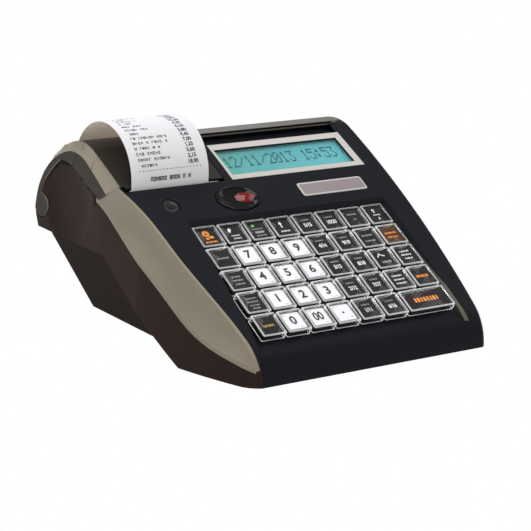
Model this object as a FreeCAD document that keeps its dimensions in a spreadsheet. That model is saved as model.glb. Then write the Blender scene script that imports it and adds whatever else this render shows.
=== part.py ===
"""Compact cash register with a built-in receipt printer, as separate pieces in millimetres.

Frame: +Z up, the operator stands at -Y, the origin is on the table below the middle of the machine.
"""
import FreeCAD, Part
import math
import os

import Sketcher

Vector = FreeCAD.Vector
Rotation = FreeCAD.Rotation
X_AXIS = Vector(1, 0, 0)
Y_AXIS = Vector(0, 1, 0)
Z_AXIS = Vector(0, 0, 1)

document = FreeCAD.newDocument("register")

# Driving sizes, in millimetres and degrees
SIZES = [
    ("width", 208.0, "overall width"),
    ("half_depth", 108.0, "half of the overall depth"),
    ("crest", 116.4, "height of the crest of the back above the case's lower edge"),
    ("foot_height", 3.0, "rubber foot"),
    ("wall", 2.5, "wall of the mouldings"),
    ("seam", 0.4, "gap between mouldings that meet"),
    ("overrun", 5.0, "how far a cutting shape stands out of what it cuts"),
    ("nose_radius", 34.8, "side profile, front"),
    ("slope_radius", 668.5, "side profile, keyboard slope"),
    ("crown_radius", 33.3, "side profile, crest"),
    ("back_radius", 63.9, "side profile, back"),
    ("edge_round", 5.0, "rounding of the right hand edge"),
    ("flank_radius", 318.0, "left flank seen from above, long curve"),
    ("corner_radius", 18.0, "left flank seen from above, front corner"),
    ("trim_depth", 2.2, "thickness of the pale side trim"),
    ("trim_bulge", 29.0, "radius of the side trim's face"),
    ("deck_slope", 30.0, "slope of the keyboard"),
    ("pitch", 19.0, "key to key"),
    ("cap_side", 17.4, "clear key cap"),
    ("cap_height", 5.0, "clear key cap"),
    ("cap_top", 1.0, "top of a cap above the label plane"),
    ("cap_wall", 1.0, "clear key cap"),
    ("cap_edge", 0.8, "chamfer round the top of a cap"),
    ("travel", 2.5, "key travel"),
    ("deck_drop", 7.0, "deck below the label plane"),
    ("deck_thick", 2.0, "deck plate"),
    ("recess_left", 12.5, "key recess left of the first key"),
    ("recess_right", 143.4, "key recess right of the first key, at its back"),
    ("recess_flare", 9.7, "how much wider the key recess is at its front"),
    ("recess_back", 10.0, "key recess behind the first key"),
    ("recess_front", 110.0, "key recess in front of the first key"),
    ("recess_radius", 600.0, "right edge of the key recess"),
    ("ridge_width", 2.9, "pale strip along the right edge of the key recess, at its front"),
    ("ridge_stand", 6.0, "pale strip above the deck"),
    ("stem_side", 4.6, "key stem"),
    ("stem_play", 0.8, "room below the stem of a pressed key"),
    ("stem_gap", 0.4, "clearance round a key stem"),
    ("switch_side", 12.0, "key switch housing"),
    ("switch_height", 7.5, "key switch housing"),
    ("switch_floor", 1.2, "floor of a key switch housing"),
    ("switch_top", 11.0, "top of the key switches below the label plane"),
    ("board_thick", 1.6, "circuit board"),
    ("board_margin", 3.5, "keyboard board beyond the outer switches"),
    ("slot_start", 40.2, "case edge at the paper slot, up the slope from the first key row"),
    ("slot_width", 3.0, "paper slot"),
    ("slot_deep", 3.0, "case edge at the paper slot below the label plane"),
    ("bar_thick", 0.6, "tear bar"),
    ("bar_depth", 5.6, "tear bar above the label plane"),
    ("bar_left", 97.0, "tear bar, left end from the middle of the machine"),
    ("bar_right", 31.0, "tear bar, right end from the middle of the machine"),
    ("bay_right", 25.2, "right end of the paper bay from the middle of the machine"),
    ("rim_thick", 2.7, "pale rim of the lid"),
    ("rim_crown_radius", 31.8, "lower edge of the lid's rim, crest"),
    ("rim_back_radius", 55.5, "lower edge of the lid's rim, back"),
    ("strip_width", 3.1, "lid skin over the left cheek"),
    ("lid_inset", 5.8, "left end of the lid's wide part inside the side of the machine"),
    ("lid_gap", 0.6, "gap at the right end of the lid"),
    ("lip_thick", 2.5, "upright plate left of the paper bay"),
    ("lip_drop", 4.0, "top of that plate below the lid's surface"),
    ("lip_inset", 2.9, "that plate inside the side of the machine"),
    ("cheek_reach", 21.0, "cheek plate round the hinge"),
    ("hinge_inset", 7.0, "lid hinge in front of the back of the machine"),
    ("hinge_height", 69.0, "lid hinge above the table"),
    ("barrel_radius", 7.4, "lower end of the lid, about the hinge"),
    ("barrel_gap", 0.6, "clearance round the lower end of the lid"),
    ("disc_radius", 7.9, "lower end of the lid's rim, about the hinge"),
    ("disc_gap", 0.5, "clearance round the lower end of the rim"),
    ("pin_radius", 1.5, "lid hinge pin"),
    ("running_gap", 0.05, "radial clearance of a shaft in its bore"),
    ("knuckle_width", 10.0, "lid hinge knuckle"),
    ("knuckle_radius", 5.6, "lid hinge knuckle"),
    ("knuckle_gap", 0.4, "clearance beside a hinge knuckle"),
    ("knuckle_step", 28.0, "knuckle to knuckle"),
    ("knuckle_first", 12.0, "first knuckle from the left side of the machine"),
    ("arm_width", 8.0, "arm that carries a knuckle, front to back"),
    ("arm_height", 13.0, "arm that carries a knuckle"),
    ("paper_width", 57.5, "receipt paper"),
    ("paper_thick", 0.3, "receipt paper, drawn thick enough to be a solid"),
    ("paper_left", 95.25, "left edge of the paper from the middle of the machine"),
    ("paper_lap", 0.4, "paper standing off the platen"),
    ("web_end", 22.5, "paper running back below the platen"),
    ("roll_radius", 25.0, "paper roll"),
    ("core_radius", 6.0, "bore of the paper roll"),
    ("roll_y", 66.0, "paper roll"),
    ("roll_z", 79.5, "paper roll"),
    ("roll_play", 2.0, "middle of the bucket above the middle of the roll"),
    ("bucket_gap", 2.3, "bucket radius beyond the roll"),
    ("loose_gap", 0.3, "clearance of a piece that only lies beside another"),
    ("frame_wall", 2.0, "paper bucket and printer frame"),
    ("end_plate", 1.2, "end plates of the printer frame"),
    ("bucket_rim", 66.0, "rim of the paper bucket above the table"),
    ("arch_radius", 33.3, "receipt arching out of the slot"),
    ("arch_y", 41.5, "middle of the receipt's arch"),
    ("arch_z", 101.3, "middle of the receipt's arch"),
    ("arch_end", 27.0, "angle where the receipt ends"),
    ("bend_low", 93.6, "lower bend of the paper at the tear bar"),
    ("bend_high", 99.1, "upper bend of the paper at the tear bar"),
    ("platen_radius", 6.0, "rubber of the platen roller"),
    ("platen_y", 17.5, "platen roller axis"),
    ("platen_z", 90.5, "platen roller axis"),
    ("shaft_radius", 2.0, "platen shaft"),
    ("bearing_thick", 1.7, "platen bearing cheek"),
    ("bearing_side", 10.0, "platen bearing cheek"),
    ("bearing_drop", 4.5, "platen bearing cheek below the shaft's axis"),
    ("gear_module", 0.8, "printer gears"),
    ("gear_width", 4.0, "printer gears"),
    ("gear_left", 33.5, "left face of the gears from the middle of the machine"),
    ("platen_teeth", 16.0, "gear on the platen"),
    ("idler_teeth", 24.0, "gear between motor and platen"),
    ("pinion_teeth", 12.0, "gear on the motor"),
    ("platen_phase", 255.62, "angle of a tooth of the platen gear"),
    ("idler_phase", 83.12, "angle of a tooth of the idler"),
    ("pinion_phase", 178.19, "angle of a tooth of the pinion"),
    ("idler_y", 13.5, "idler axis"),
    ("idler_z", 74.9, "idler axis"),
    ("axle_radius", 1.5, "idler axle"),
    ("pinion_y", 27.1, "motor axis"),
    ("pinion_z", 69.9, "motor axis"),
    ("motor_radius", 9.4, "stepper motor"),
    ("motor_length", 17.0, "stepper motor"),
    ("motor_shaft", 1.0, "motor shaft"),
    ("frame_left", 96.8, "printer frame, left end from the middle of the machine"),
    ("frame_right", 34.7, "printer frame, right end from the middle of the machine"),
    ("frame_front", 4.4, "front plate of the printer frame"),
    ("frame_shelf", 56.5, "shelf of the printer frame above the table"),
    ("frame_top", 82.0, "top of the printer frame's end plates"),
    ("front_top", 84.0, "top of the printer frame's front plate"),
    ("front_thick", 2.6, "front plate of the printer frame"),
    ("head_top", 92.0, "top of the print head"),
    ("head_thick", 3.4, "thermal print head with its heat sink"),
    ("head_height", 12.0, "thermal print head with its heat sink"),
    ("leg_left", 70.0, "legs of the printer frame"),
    ("leg_right", 38.0, "legs of the printer frame"),
    ("front_leg", 48.0, "front leg of the printer frame"),
    ("rear_leg", 70.0, "rear leg of the printer frame"),
    ("display_slope", 26.5, "slope of the display"),
    ("bezel_left", -19.0, "display bezel"),
    ("bezel_width", 108.0, "display bezel"),
    ("bezel_length", 35.0, "display bezel"),
    ("bezel_thick", 2.0, "display bezel"),
    ("window_width", 99.5, "display window"),
    ("window_length", 25.0, "display window"),
    ("window_left", 3.0, "display window inside the bezel"),
    ("window_front", 4.7, "display window inside the bezel"),
    ("pane_thick", 1.2, "clear pane"),
    ("pane_lip", 2.0, "clear pane under the bezel"),
    ("pane_gap", 0.2, "clearance round a pane"),
    ("glass_thick", 3.2, "liquid crystal glass"),
    ("module_margin", 2.5, "display circuit board beyond its glass"),
    ("recess_length", 46.5, "display recess"),
    ("groove_depth", 6.0, "dark groove behind the bezel"),
    ("groove_start", 35.6, "dark groove behind the bezel"),
    ("flank_width", 6.5, "sloping side of the display recess"),
    ("flank_rise", 3.3, "sloping side of the display recess"),
    ("hood_front", 50.4, "pale strip over the crest"),
    ("hood_width", 15.6, "pale strip over the crest"),
    ("hood_end", 5.0, "pale strip short of the right side"),
    ("button_x", -25.2, "oval lid button"),
    ("button_up", 23.9, "oval lid button, up the slope from the first key row"),
    ("button_width", 32.0, "oval lid button"),
    ("button_length", 21.0, "oval lid button"),
    ("button_top", 6.4, "oval lid button above the label plane"),
    ("button_thick", 3.2, "oval lid button"),
    ("button_travel", 2.0, "oval lid button"),
    ("button_gap", 0.5, "clearance round the lid button"),
    ("well_room", 3.2, "room below the pressed lid button"),
    ("lens_shift", 6.0, "red lens right of the button's middle"),
    ("lens_width", 16.0, "red lens in the lid button"),
    ("lens_length", 9.0, "red lens in the lid button"),
    ("lens_stand", 0.8, "red lens above the lid button"),
    ("guide_radius", 3.0, "guide stem of the lid button"),
    ("guide_length", 9.0, "guide stem of the lid button"),
    ("seal_x", -75.0, "seal well"),
    ("seal_up", 24.5, "seal well, up the slope from the first key row"),
    ("seal_radius", 6.0, "seal well"),
    ("seal_floor", 3.9, "seal well floor above the label plane"),
    ("base_half", 77.0, "half width of the lower case at its floor"),
    ("base_back", 76.0, "back of the lower case at its floor"),
    ("base_front", 46.0, "front of the lower case's walls at its floor"),
    ("rim_front", 16.0, "front of the lower case's walls at their upper edge"),
    ("rim_height", 53.0, "upper edge of the lower case's walls above its floor"),
    ("rim_inset", 4.4, "upper edge of those walls inside the side of the machine"),
    ("rim_back", 7.4, "upper edge of those walls in front of the back of the machine"),
    ("port_left", -8.0, "connector bay"),
    ("port_width", 76.0, "connector bay"),
    ("port_height", 29.0, "connector bay above the floor"),
    ("foot_radius", 6.0, "rubber foot"),
    ("boss_radius", 4.0, "screw boss"),
    ("boss_height", 17.0, "screw boss of the lower case above the table"),
    ("screw_radius", 1.5, "case screw"),
    ("screw_head", 3.0, "case screw"),
    ("head_sink", 2.0, "height of a case screw's head"),
    ("screw_length", 24.0, "case screw"),
    ("main_height", 12.0, "main circuit board above the table"),
    ("main_left", -10.0, "main circuit board"),
    ("main_width", 76.0, "main circuit board"),
    ("main_front", -20.0, "main circuit board"),
    ("main_length", 90.0, "main circuit board"),
    ("post_radius", 3.0, "post below the main circuit board"),
    ("post_inset", 5.0, "post inside the edge of the main circuit board"),
    ("socket_depth", 15.0, "sockets of the main circuit board"),
    ("socket_wall", 1.0, "sockets of the main circuit board"),
    ("rear_slope", 52.0, "slope of the customer display, leaning back"),
    ("rear_left", 1.0, "customer display pane"),
    ("rear_width", 72.0, "customer display pane"),
    ("rear_length", 20.0, "customer display pane"),
    ("rear_pane_top", 62.8, "customer display pane from the middle of the back's curve"),
    ("rear_margin", 2.0, "customer display pane beyond its view"),
    ("rear_backing", 3.0, "thickening behind the customer display"),
]


class Length:
    """A size that knows its value and the sheet expression that gives it."""

    def __init__(self, value, text):
        self.value = float(value)
        self.text = text

    def __add__(self, other):
        return Length(self.value + number(other), f"({self.text} + {text(other)})")

    def __radd__(self, other):
        return as_length(other) + self

    def __sub__(self, other):
        return Length(self.value - number(other), f"({self.text} - {text(other)})")

    def __rsub__(self, other):
        return as_length(other) - self

    def __mul__(self, other):
        return Length(self.value * number(other), f"({self.text} * {text(other)})")

    def __rmul__(self, other):
        return self * other

    def __truediv__(self, other):
        return Length(self.value / number(other), f"({self.text} / {text(other)})")

    def __neg__(self):
        return Length(-self.value, f"(-1 * {self.text})")


def number(item):
    """The plain value of a size or a number."""
    return item.value if isinstance(item, Length) else float(item)


def text(item):
    """The sheet expression of a size or a number."""
    return item.text if isinstance(item, Length) else repr(float(item))


def as_length(item):
    """A size or a number as a Length."""
    return item if isinstance(item, Length) else Length(item, text(item))


def sine(angle):
    """Sine of an angle of the sheet, in degrees."""
    return Length(math.sin(math.radians(angle.value)), f"sin({angle.text})")


def cosine(angle):
    """Cosine of an angle of the sheet, in degrees."""
    return Length(math.cos(math.radians(angle.value)), f"cos({angle.text})")


class Sizes:
    """The driving sizes by name, kept in the document's spreadsheet."""

    def __init__(self, rows):
        sheet = document.addObject("Spreadsheet::Sheet", "Size")
        for line, (name, value, note) in enumerate(rows, start=1):
            sheet.set(f"A{line}", name)
            sheet.set(f"B{line}", str(value))
            sheet.set(f"C{line}", note)
            sheet.setAlias(f"B{line}", name)
            setattr(self, name, Length(value, f"Size.{name}"))


size = Sizes(SIZES)
document.recompute()

# Places worked out from the driving sizes
HALF_WIDTH = size.width / 2
LEFT = -HALF_WIDTH
FRONT = -size.half_depth
BACK = size.half_depth
EDGE_Z = size.foot_height

# Side profile, as shares of the half depth and of the crest's height above the lower edge
NOSE_SHARES = (-0.875, 0.2277)
BROW_SHARES = (0.4074, 0.9794)
NAPE_SHARES = (0.6667, 0.9674)
HIP_SHARES = (1.0, 0.5412)
TAIL_SHARES = (0.9583, 0.4381)
WEDGE_TOP_SHARES = (0.2222, 0.4381)
WEDGE_TOE_SHARES = (-0.5, 0.0)
# Outward direction of the skin at each of those corners
NOSE_NORMAL_SHARES = (-0.623, 0.782)
BROW_NORMAL_SHARES = (-0.40, 0.916)
NAPE_NORMAL_SHARES = (0.45, 0.893)
HIP_NORMAL_SHARES = (0.99, 0.127)
TAIL_NORMAL_SHARES = (0.98, -0.2)

# Left flank seen from above, as shares of the half width and of the half depth
FLANK_START_SHARES = (-1.0, -0.139)
FLANK_END_SHARES = (-0.8125, -0.898)
CORNER_END_SHARES = (-0.7115, -1.0)

# Label plane of the keys: the middle of the first key, as shares of half width, half depth and crest
FIRST_KEY_SHARES = (-0.5673, -0.2315, 0.6057)
FIRST_KEY_X = FIRST_KEY_SHARES[0] * HALF_WIDTH
FIRST_KEY_Y = FIRST_KEY_SHARES[1] * size.half_depth
FIRST_KEY_Z = EDGE_Z + FIRST_KEY_SHARES[2] * size.crest
# A level well above everything that stands on the label plane
OUT_HIGH = size.button_top * 2


def profile_point(shares, normal=(0, 0), inset=0):
    """A corner of the side profile, moved inwards by an inset."""
    y = shares[0] * size.half_depth - as_length(inset) * normal[0]
    z = EDGE_Z + shares[1] * size.crest - as_length(inset) * normal[1]
    return y, z


def plan_point(shares, inset=0):
    """A corner of the left flank seen from above, moved inwards by an inset."""
    return shares[0] * HALF_WIDTH + as_length(inset), shares[1] * size.half_depth


def on_deck(across, up, out=0):
    """The place of a point given across, up and out of the keys' label plane."""
    run = cosine(size.deck_slope)
    rise = sine(size.deck_slope)
    along = as_length(up)
    above = as_length(out)
    return (
        FIRST_KEY_X + across,
        FIRST_KEY_Y + along * run - above * rise,
        FIRST_KEY_Z + along * rise + above * run,
    )


def vector(place):
    """A place given by sizes as a FreeCAD vector."""
    return Vector(*[number(part) for part in place])


def put(item, place, angle=0, axis=X_AXIS):
    """Place an object and bind its place, and its turn if it has one, to the sheet."""
    item.Placement = FreeCAD.Placement(vector(place), Rotation(axis, number(angle)))
    for letter, part in zip("xyz", place):
        item.setExpression(f".Placement.Base.{letter}", text(part))
    if isinstance(angle, Length):
        item.setExpression(".Placement.Rotation.Angle", text(angle))
    return item


def box(name, corner, sides, angle=0):
    """A box from its lowest corner, turned about X by an angle."""
    item = document.addObject("Part::Box", name)
    for side, part in zip(("Length", "Width", "Height"), sides):
        item.setExpression(side, text(part))
    return put(item, corner, angle)


def cylinder(name, base, radius, height, angle=0, axis=X_AXIS):
    """A cylinder from the middle of its lower face, along Z unless it is turned."""
    item = document.addObject("Part::Cylinder", name)
    item.setExpression("Radius", text(radius))
    item.setExpression("Height", text(height))
    return put(item, base, angle, axis)


def rod(name, base, radius, length):
    """A cylinder along +X from the middle of its left face."""
    return cylinder(name, base, radius, length, 90, Y_AXIS)


def ball(name, middle, radius):
    """A sphere."""
    item = document.addObject("Part::Sphere", name)
    item.setExpression("Radius", text(radius))
    return put(item, middle)


def cut(name, base, tool):
    """What a tool leaves of a base."""
    item = document.addObject("Part::Cut", name)
    item.Base = base
    item.Tool = tool
    return item


def cut_all(name, base, tools):
    """Cut several tools from a base, one after another; the last result has the name."""
    for count, tool in enumerate(tools[:-1], start=1):
        base = cut(f"{name}_cut{count}", base, tool)
    return cut(name, base, tools[-1])


def fuse(name, pieces):
    """Several solids made one."""
    item = document.addObject("Part::MultiFuse", name)
    item.Shapes = pieces
    return item


def common(name, first, second):
    """What two solids share."""
    item = document.addObject("Part::MultiCommon", name)
    item.Shapes = [first, second]
    return item


def group(name, pieces):
    """Separate solids that make one node."""
    item = document.addObject("Part::Compound", name)
    item.Links = pieces
    return item


def new_body(name):
    """An empty PartDesign body."""
    return document.addObject("PartDesign::Body", name)


def plane_of(body, role):
    """One of the origin planes of a body."""
    return next(feature for feature in body.Origin.OriginFeatures if feature.Role == role)


def add_sketch(body, role, name, offset=0):
    """An empty sketch on one of the body's origin planes, moved along its normal."""
    sketch = body.newObject("Sketcher::SketchObject", name)
    sketch.AttachmentSupport = [(plane_of(body, role), "")]
    sketch.MapMode = "FlatFace"
    sketch.AttachmentOffset = FreeCAD.Placement(Vector(0, 0, number(offset)), Rotation())
    if isinstance(offset, Length):
        sketch.setExpression(".AttachmentOffset.Base.z", text(offset))
    return sketch


def bind(sketch, kind, edge, end, target):
    """Fix one coordinate of a sketch point and bind it to the sheet."""
    row = sketch.addConstraint(Sketcher.Constraint(kind, edge, end, number(target)))
    if isinstance(target, Length):
        sketch.setExpression(f"Constraints[{row}]", text(target))


def arc_between(first, last, radius):
    """An arc between two points, stored anticlockwise: a positive radius bulges left of the way along it."""
    chord = last - first
    half = chord.Length / 2
    reach = abs(radius)
    rise = reach - math.sqrt(max(reach * reach - half * half, 0.0))
    left = Vector(-chord.y, chord.x, 0).normalize()
    middle = (first + last) / 2 + left * math.copysign(rise, radius)
    if radius > 0:
        return Part.Arc(last, middle, first)
    return Part.Arc(first, middle, last)


def draw(body, role, name, corners, offset=0):
    """A closed sketch through corners (x, y) or (x, y, radius of the arc that arrives there)."""
    sketch = add_sketch(body, role, name, offset)
    spots = [Vector(number(corner[0]), number(corner[1]), 0) for corner in corners]
    ends = []
    for count, corner in enumerate(corners):
        first, last = spots[count - 1], spots[count]
        if len(corner) == 3:
            edge = sketch.addGeometry(arc_between(first, last, number(corner[2])))
        else:
            edge = sketch.addGeometry(Part.LineSegment(first, last))
        line = sketch.Geometry[edge]
        forward = (line.StartPoint - first).Length < (line.EndPoint - first).Length
        ends.append((edge, 1, 2) if forward else (edge, 2, 1))
    for count, corner in enumerate(corners):
        edge, _, arriving = ends[count]
        following, leaving, _ = ends[(count + 1) % len(corners)]
        sketch.addConstraint(Sketcher.Constraint("Coincident", edge, arriving, following, leaving))
        bind(sketch, "DistanceX", edge, arriving, corner[0])
        bind(sketch, "DistanceY", edge, arriving, corner[1])
        if len(corner) == 3:
            row = sketch.addConstraint(Sketcher.Constraint("Radius", edge, abs(number(corner[2]))))
            if isinstance(corner[2], Length):
                radius = corner[2] if number(corner[2]) > 0 else -corner[2]
                sketch.setExpression(f"Constraints[{row}]", text(radius))
    return sketch


def circle(body, role, name, middle, radius, offset=0):
    """A sketch of one circle."""
    sketch = add_sketch(body, role, name, offset)
    spot = Vector(number(middle[0]), number(middle[1]), 0)
    edge = sketch.addGeometry(Part.Circle(spot, Z_AXIS, number(radius)))
    bind(sketch, "DistanceX", edge, 3, middle[0])
    bind(sketch, "DistanceY", edge, 3, middle[1])
    row = sketch.addConstraint(Sketcher.Constraint("Radius", edge, number(radius)))
    if isinstance(radius, Length):
        sketch.setExpression(f"Constraints[{row}]", text(radius))
    return sketch


def pad(body, sketch, length, name, centred=False):
    """Raise a sketch to a solid."""
    feature = body.newObject("PartDesign::Pad", name)
    feature.Profile = sketch
    feature.Midplane = centred
    feature.setExpression("Length", text(length))
    return feature


def pocket(body, sketch, length, name, centred=False, reverse=False):
    """Sink a sketch into its body."""
    feature = body.newObject("PartDesign::Pocket", name)
    feature.Profile = sketch
    feature.Midplane = centred
    feature.Reversed = reverse
    feature.setExpression("Length", text(length))
    return feature


def prism(name, role, corners, length, offset=0, place=(0, 0, 0), angle=0):
    """A body made by one pad of a closed outline."""
    body = new_body(name)
    pad(body, draw(body, role, f"{name}_outline", corners, offset), length, f"{name}_pad")
    return put(body, place, angle)


# The whole form of the machine, without its lower case
def profile_corners(inset=0, drop=0):
    """The side profile, seen from the right, from the front's foot over the top to the wedge."""
    radius = {name: getattr(size, name) - inset for name in
              ("nose_radius", "slope_radius", "crown_radius", "back_radius")}
    foot = EDGE_Z - drop
    return [
        (FRONT + inset, foot),
        (*profile_point(NOSE_SHARES, NOSE_NORMAL_SHARES, inset), radius["nose_radius"]),
        (*profile_point(BROW_SHARES, BROW_NORMAL_SHARES, inset), radius["slope_radius"]),
        (*profile_point(NAPE_SHARES, NAPE_NORMAL_SHARES, inset), radius["crown_radius"]),
        (*profile_point(HIP_SHARES, HIP_NORMAL_SHARES, inset), radius["back_radius"]),
        (profile_point(TAIL_SHARES, TAIL_NORMAL_SHARES, inset)[0],
         profile_point(TAIL_SHARES)[1] - drop, radius["back_radius"]),
        (profile_point(WEDGE_TOP_SHARES)[0], profile_point(WEDGE_TOP_SHARES)[1] - drop),
        (profile_point(WEDGE_TOE_SHARES)[0], foot),
    ]


def flank_corners(inset=0):
    """What is cut off the left flank to leave its curve seen from above."""
    far_left = LEFT - size.overrun * 2
    far_front = FRONT - size.overrun * 2
    start_x, start_y = plan_point(FLANK_START_SHARES, inset)
    end_x, end_y = plan_point(FLANK_END_SHARES, inset)
    corner_x, corner_y = plan_point(CORNER_END_SHARES)
    return [
        (far_left, start_y),
        (far_left, far_front),
        (corner_x, far_front),
        (corner_x, corner_y + inset),
        (end_x, end_y, size.corner_radius - inset),
        (start_x, start_y, size.flank_radius - inset),
    ]


def make_form(name, inset, drop):
    """The machine's outer form, or the hollow in it at an inset, with the left front curved in."""
    body = new_body(name)
    outline = draw(body, "YZ_Plane", f"{name}_profile", profile_corners(inset, drop))
    pad(body, outline, size.width - inset * 2, f"{name}_pad", centred=True)
    flank = draw(body, "XY_Plane", f"{name}_flank", flank_corners(inset))
    pocket(body, flank, size.crest * 4, f"{name}_pocket", centred=True)
    return body


# Pale trim along the left edge: y, inner edge, top, outer edge and lower edge, as shares
TRIM_STATION_SHARES = (
    (0.3148, -1.0048, 0.938, -1.0, 0.7146),
    (0.1111, -0.9923, 0.8406, -1.0, 0.6216),
    (-0.1111, -0.925, 0.724, -1.0, 0.4963),
    (-0.3426, -0.8923, 0.5901, -0.9712, 0.365),
    (-0.5463, -0.8452, 0.4609, -0.927, 0.229),
    (-0.7407, -0.7827, 0.3269, -0.8699, 0.1465),
    (-0.8426, -0.7529, 0.2522, -0.8339, 0.1207),
    (-0.9259, -0.7337, 0.1819, -0.7997, 0.1002),
    (-0.9815, -0.7192, 0.091, -0.7475, 0.0782),
)


def trim_section(share, inset):
    """One section of what lies outside the trim's face, moved into the machine by an inset."""
    _, inner, top, outer, lower = share
    inset = as_length(inset)
    inner_x = inner * HALF_WIDTH - size.trim_depth + inset
    top_z = EDGE_Z + top * size.crest + size.seam - inset
    outer_x = outer * HALF_WIDTH - size.seam + inset
    lower_z = EDGE_Z + lower * size.crest + size.trim_depth - inset
    far_x = LEFT - size.overrun * 2
    high_z = top_z + size.overrun * 2
    return [
        (outer_x, lower_z, size.trim_bulge),
        (far_x, lower_z),
        (far_x, high_z),
        (inner_x, high_z),
        (inner_x, top_z),
    ]


def make_trim_chopper(name, inset):
    """The lofted region outside the trim's outer face, or outside its inner face at an inset."""
    body = new_body(name)
    sections = [
        draw(body, "XZ_Plane", f"{name}_section{count}", trim_section(share, inset),
             -share[0] * size.half_depth)
        for count, share in enumerate(TRIM_STATION_SHARES, start=1)
    ]
    loft = body.newObject("PartDesign::AdditiveLoft", f"{name}_loft")
    loft.Profile = sections[0]
    loft.Sections = sections[1:]
    return body


def deck_box(name, across, up, out):
    """A box on the keys' label plane from its (start, end) across, up and out of it."""
    sides = (across[1] - across[0], up[1] - up[0], out[1] - out[0])
    return box(name, on_deck(across[0], up[0], out[0]), sides, size.deck_slope)


def deck_cylinder(name, across, up, out, radius):
    """A cylinder square to the label plane, from its lower to its upper level."""
    return cylinder(name, on_deck(across, up, out[0]), radius, out[1] - out[0], size.deck_slope)


# Front left corner of the display bezel's upper face, and the middle of the back's curve
DISPLAY_SHARES = (0.0759, 0.8157)
BACK_MIDDLE_SHARES = (0.4131, 0.4714)
DISPLAY_Y, DISPLAY_Z = profile_point(DISPLAY_SHARES)
BACK_MIDDLE_Y, BACK_MIDDLE_Z = profile_point(BACK_MIDDLE_SHARES)


def on_display(across, up, out=0):
    """The place of a point given across, up and out of the display's plane."""
    run = cosine(size.display_slope)
    rise = sine(size.display_slope)
    return (
        size.bezel_left + across,
        DISPLAY_Y + as_length(up) * run - as_length(out) * rise,
        DISPLAY_Z + as_length(up) * rise + as_length(out) * run,
    )


def display_box(name, across, up, out):
    """A box on the display's plane, measured from the bezel's front left corner."""
    sides = (across[1] - across[0], up[1] - up[0], out[1] - out[0])
    return box(name, on_display(across[0], up[0], out[0]), sides, size.display_slope)


def rear_box(name, across, down, out):
    """A box on the customer display's plane, measured from the middle of the back's curve."""
    run = cosine(size.rear_slope)
    rise = sine(size.rear_slope)
    place = (
        size.rear_left + across[0],
        BACK_MIDDLE_Y + down[0] * run + out[0] * rise,
        BACK_MIDDLE_Z - down[0] * rise + out[0] * run,
    )
    sides = (across[1] - across[0], down[1] - down[0], out[1] - out[0])
    return box(name, place, sides, -size.rear_slope)


def oval(name, across, up, out, width, length):
    """An oval prism square to the label plane, from its lower to its upper level."""
    line = document.addObject("Part::Ellipse", f"{name}_line")
    line.setExpression("MajorRadius", text(width / 2))
    line.setExpression("MinorRadius", text(length / 2))
    put(line, on_deck(across, up, out[0]), size.deck_slope)
    prism_of = document.addObject("Part::Extrusion", name)
    prism_of.Base = line
    prism_of.DirMode = "Normal"
    prism_of.setExpression("LengthFwd", text(out[1] - out[0]))
    prism_of.Solid = True
    return prism_of


def side_prism(name, corners, left, right):
    """A prism with an outline drawn from the side, reaching from one X to another."""
    return prism(name, "YZ_Plane", corners, right - left, left)


def round_right_edge(body, round_radius):
    """Round the long edges between the upper faces and the right side."""
    base = body.Tip
    shape = base.Shape
    right = max(vertex.X for vertex in shape.Vertexes)
    low = number(profile_point(TAIL_SHARES)[1]) + number(size.overrun)
    names = [
        f"Edge{count}" for count, edge in enumerate(shape.Edges, start=1)
        if edge.Curve.TypeId == "Part::GeomCircle"
        and min(vertex.X for vertex in edge.Vertexes) > right - number(size.seam)
        and max(vertex.Z for vertex in edge.Vertexes) > low
    ]
    feature = body.newObject("PartDesign::Fillet", f"{body.Name}_fillet")
    feature.Base = (base, names)
    feature.setExpression("Radius", text(round_radius))


# Forms shared by the mouldings
form = make_form("case_form", as_length(0), as_length(0))
hollow_form = make_form("case_hollow_form", size.wall, size.overrun)
document.recompute()
round_right_edge(form, size.edge_round)
round_right_edge(hollow_form, size.edge_round - size.wall)
outside_trim = make_trim_chopper("outside_trim", 0)
trim_region = make_trim_chopper("trim_region", size.trim_depth)
outer_form = cut("outer_form", form, outside_trim)
skin = cut("case_skin", outer_form, cut("case_hollow", hollow_form, trim_region))
case_skin = cut("case_skin_without_trim", skin, trim_region)
inner_form = cut("form_inside_trim", outer_form, trim_region)

# The lid's pale rim seen from the side: where it parts from the case, as shares, with the way out of the rim
RIM_SHARES = (
    (0.1065, 0.8385, -0.521, -0.854),
    (0.2917, 0.7337, 0.0, -1.1),
    (0.5324, 0.8333, 0.35, -0.94),
    (0.7333, 0.8625, -0.2, -1.0),
    (0.9639, 0.567, -1.0, -0.1),
)
RIM_ARCS = ((), (), (), (size.rim_crown_radius,), (size.rim_back_radius,))
RIM_REACH_SHARE = 1.16
RIM_TOP_SHARE = 1.2


def rim_corners(inset):
    """The region of the lid's rim seen from the side, grown by an inset."""
    corners = []
    for (y, z, out_y, out_z), arc in zip(RIM_SHARES, RIM_ARCS):
        place_y, place_z = profile_point((y, z), (-out_y, -out_z), inset)
        corners.append((place_y, place_z, *arc))
    last_z = corners[-1][1]
    return corners + [
        (RIM_REACH_SHARE * size.half_depth, last_z),
        (RIM_REACH_SHARE * size.half_depth, RIM_TOP_SHARE * size.crest),
        (corners[0][0] - size.overrun * 2, RIM_TOP_SHARE * size.crest),
    ]


HINGE_Y = BACK - size.hinge_inset
HINGE_Z = size.hinge_height
HINGE_BORE = size.pin_radius + size.running_gap
LIP_LEFT = LEFT + size.lip_inset
LID_LEFT = LEFT + size.lid_inset
BAY_RIGHT = -size.bay_right
LID_RIGHT = BAY_RIGHT - size.lid_gap
FAR_LEFT = LEFT - size.overrun


def hinge_rod(name, left, right, radius):
    """A cylinder on the lid hinge's axis, from one X to another."""
    return rod(name, (left, HINGE_Y, HINGE_Z), radius, right - left)


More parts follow.
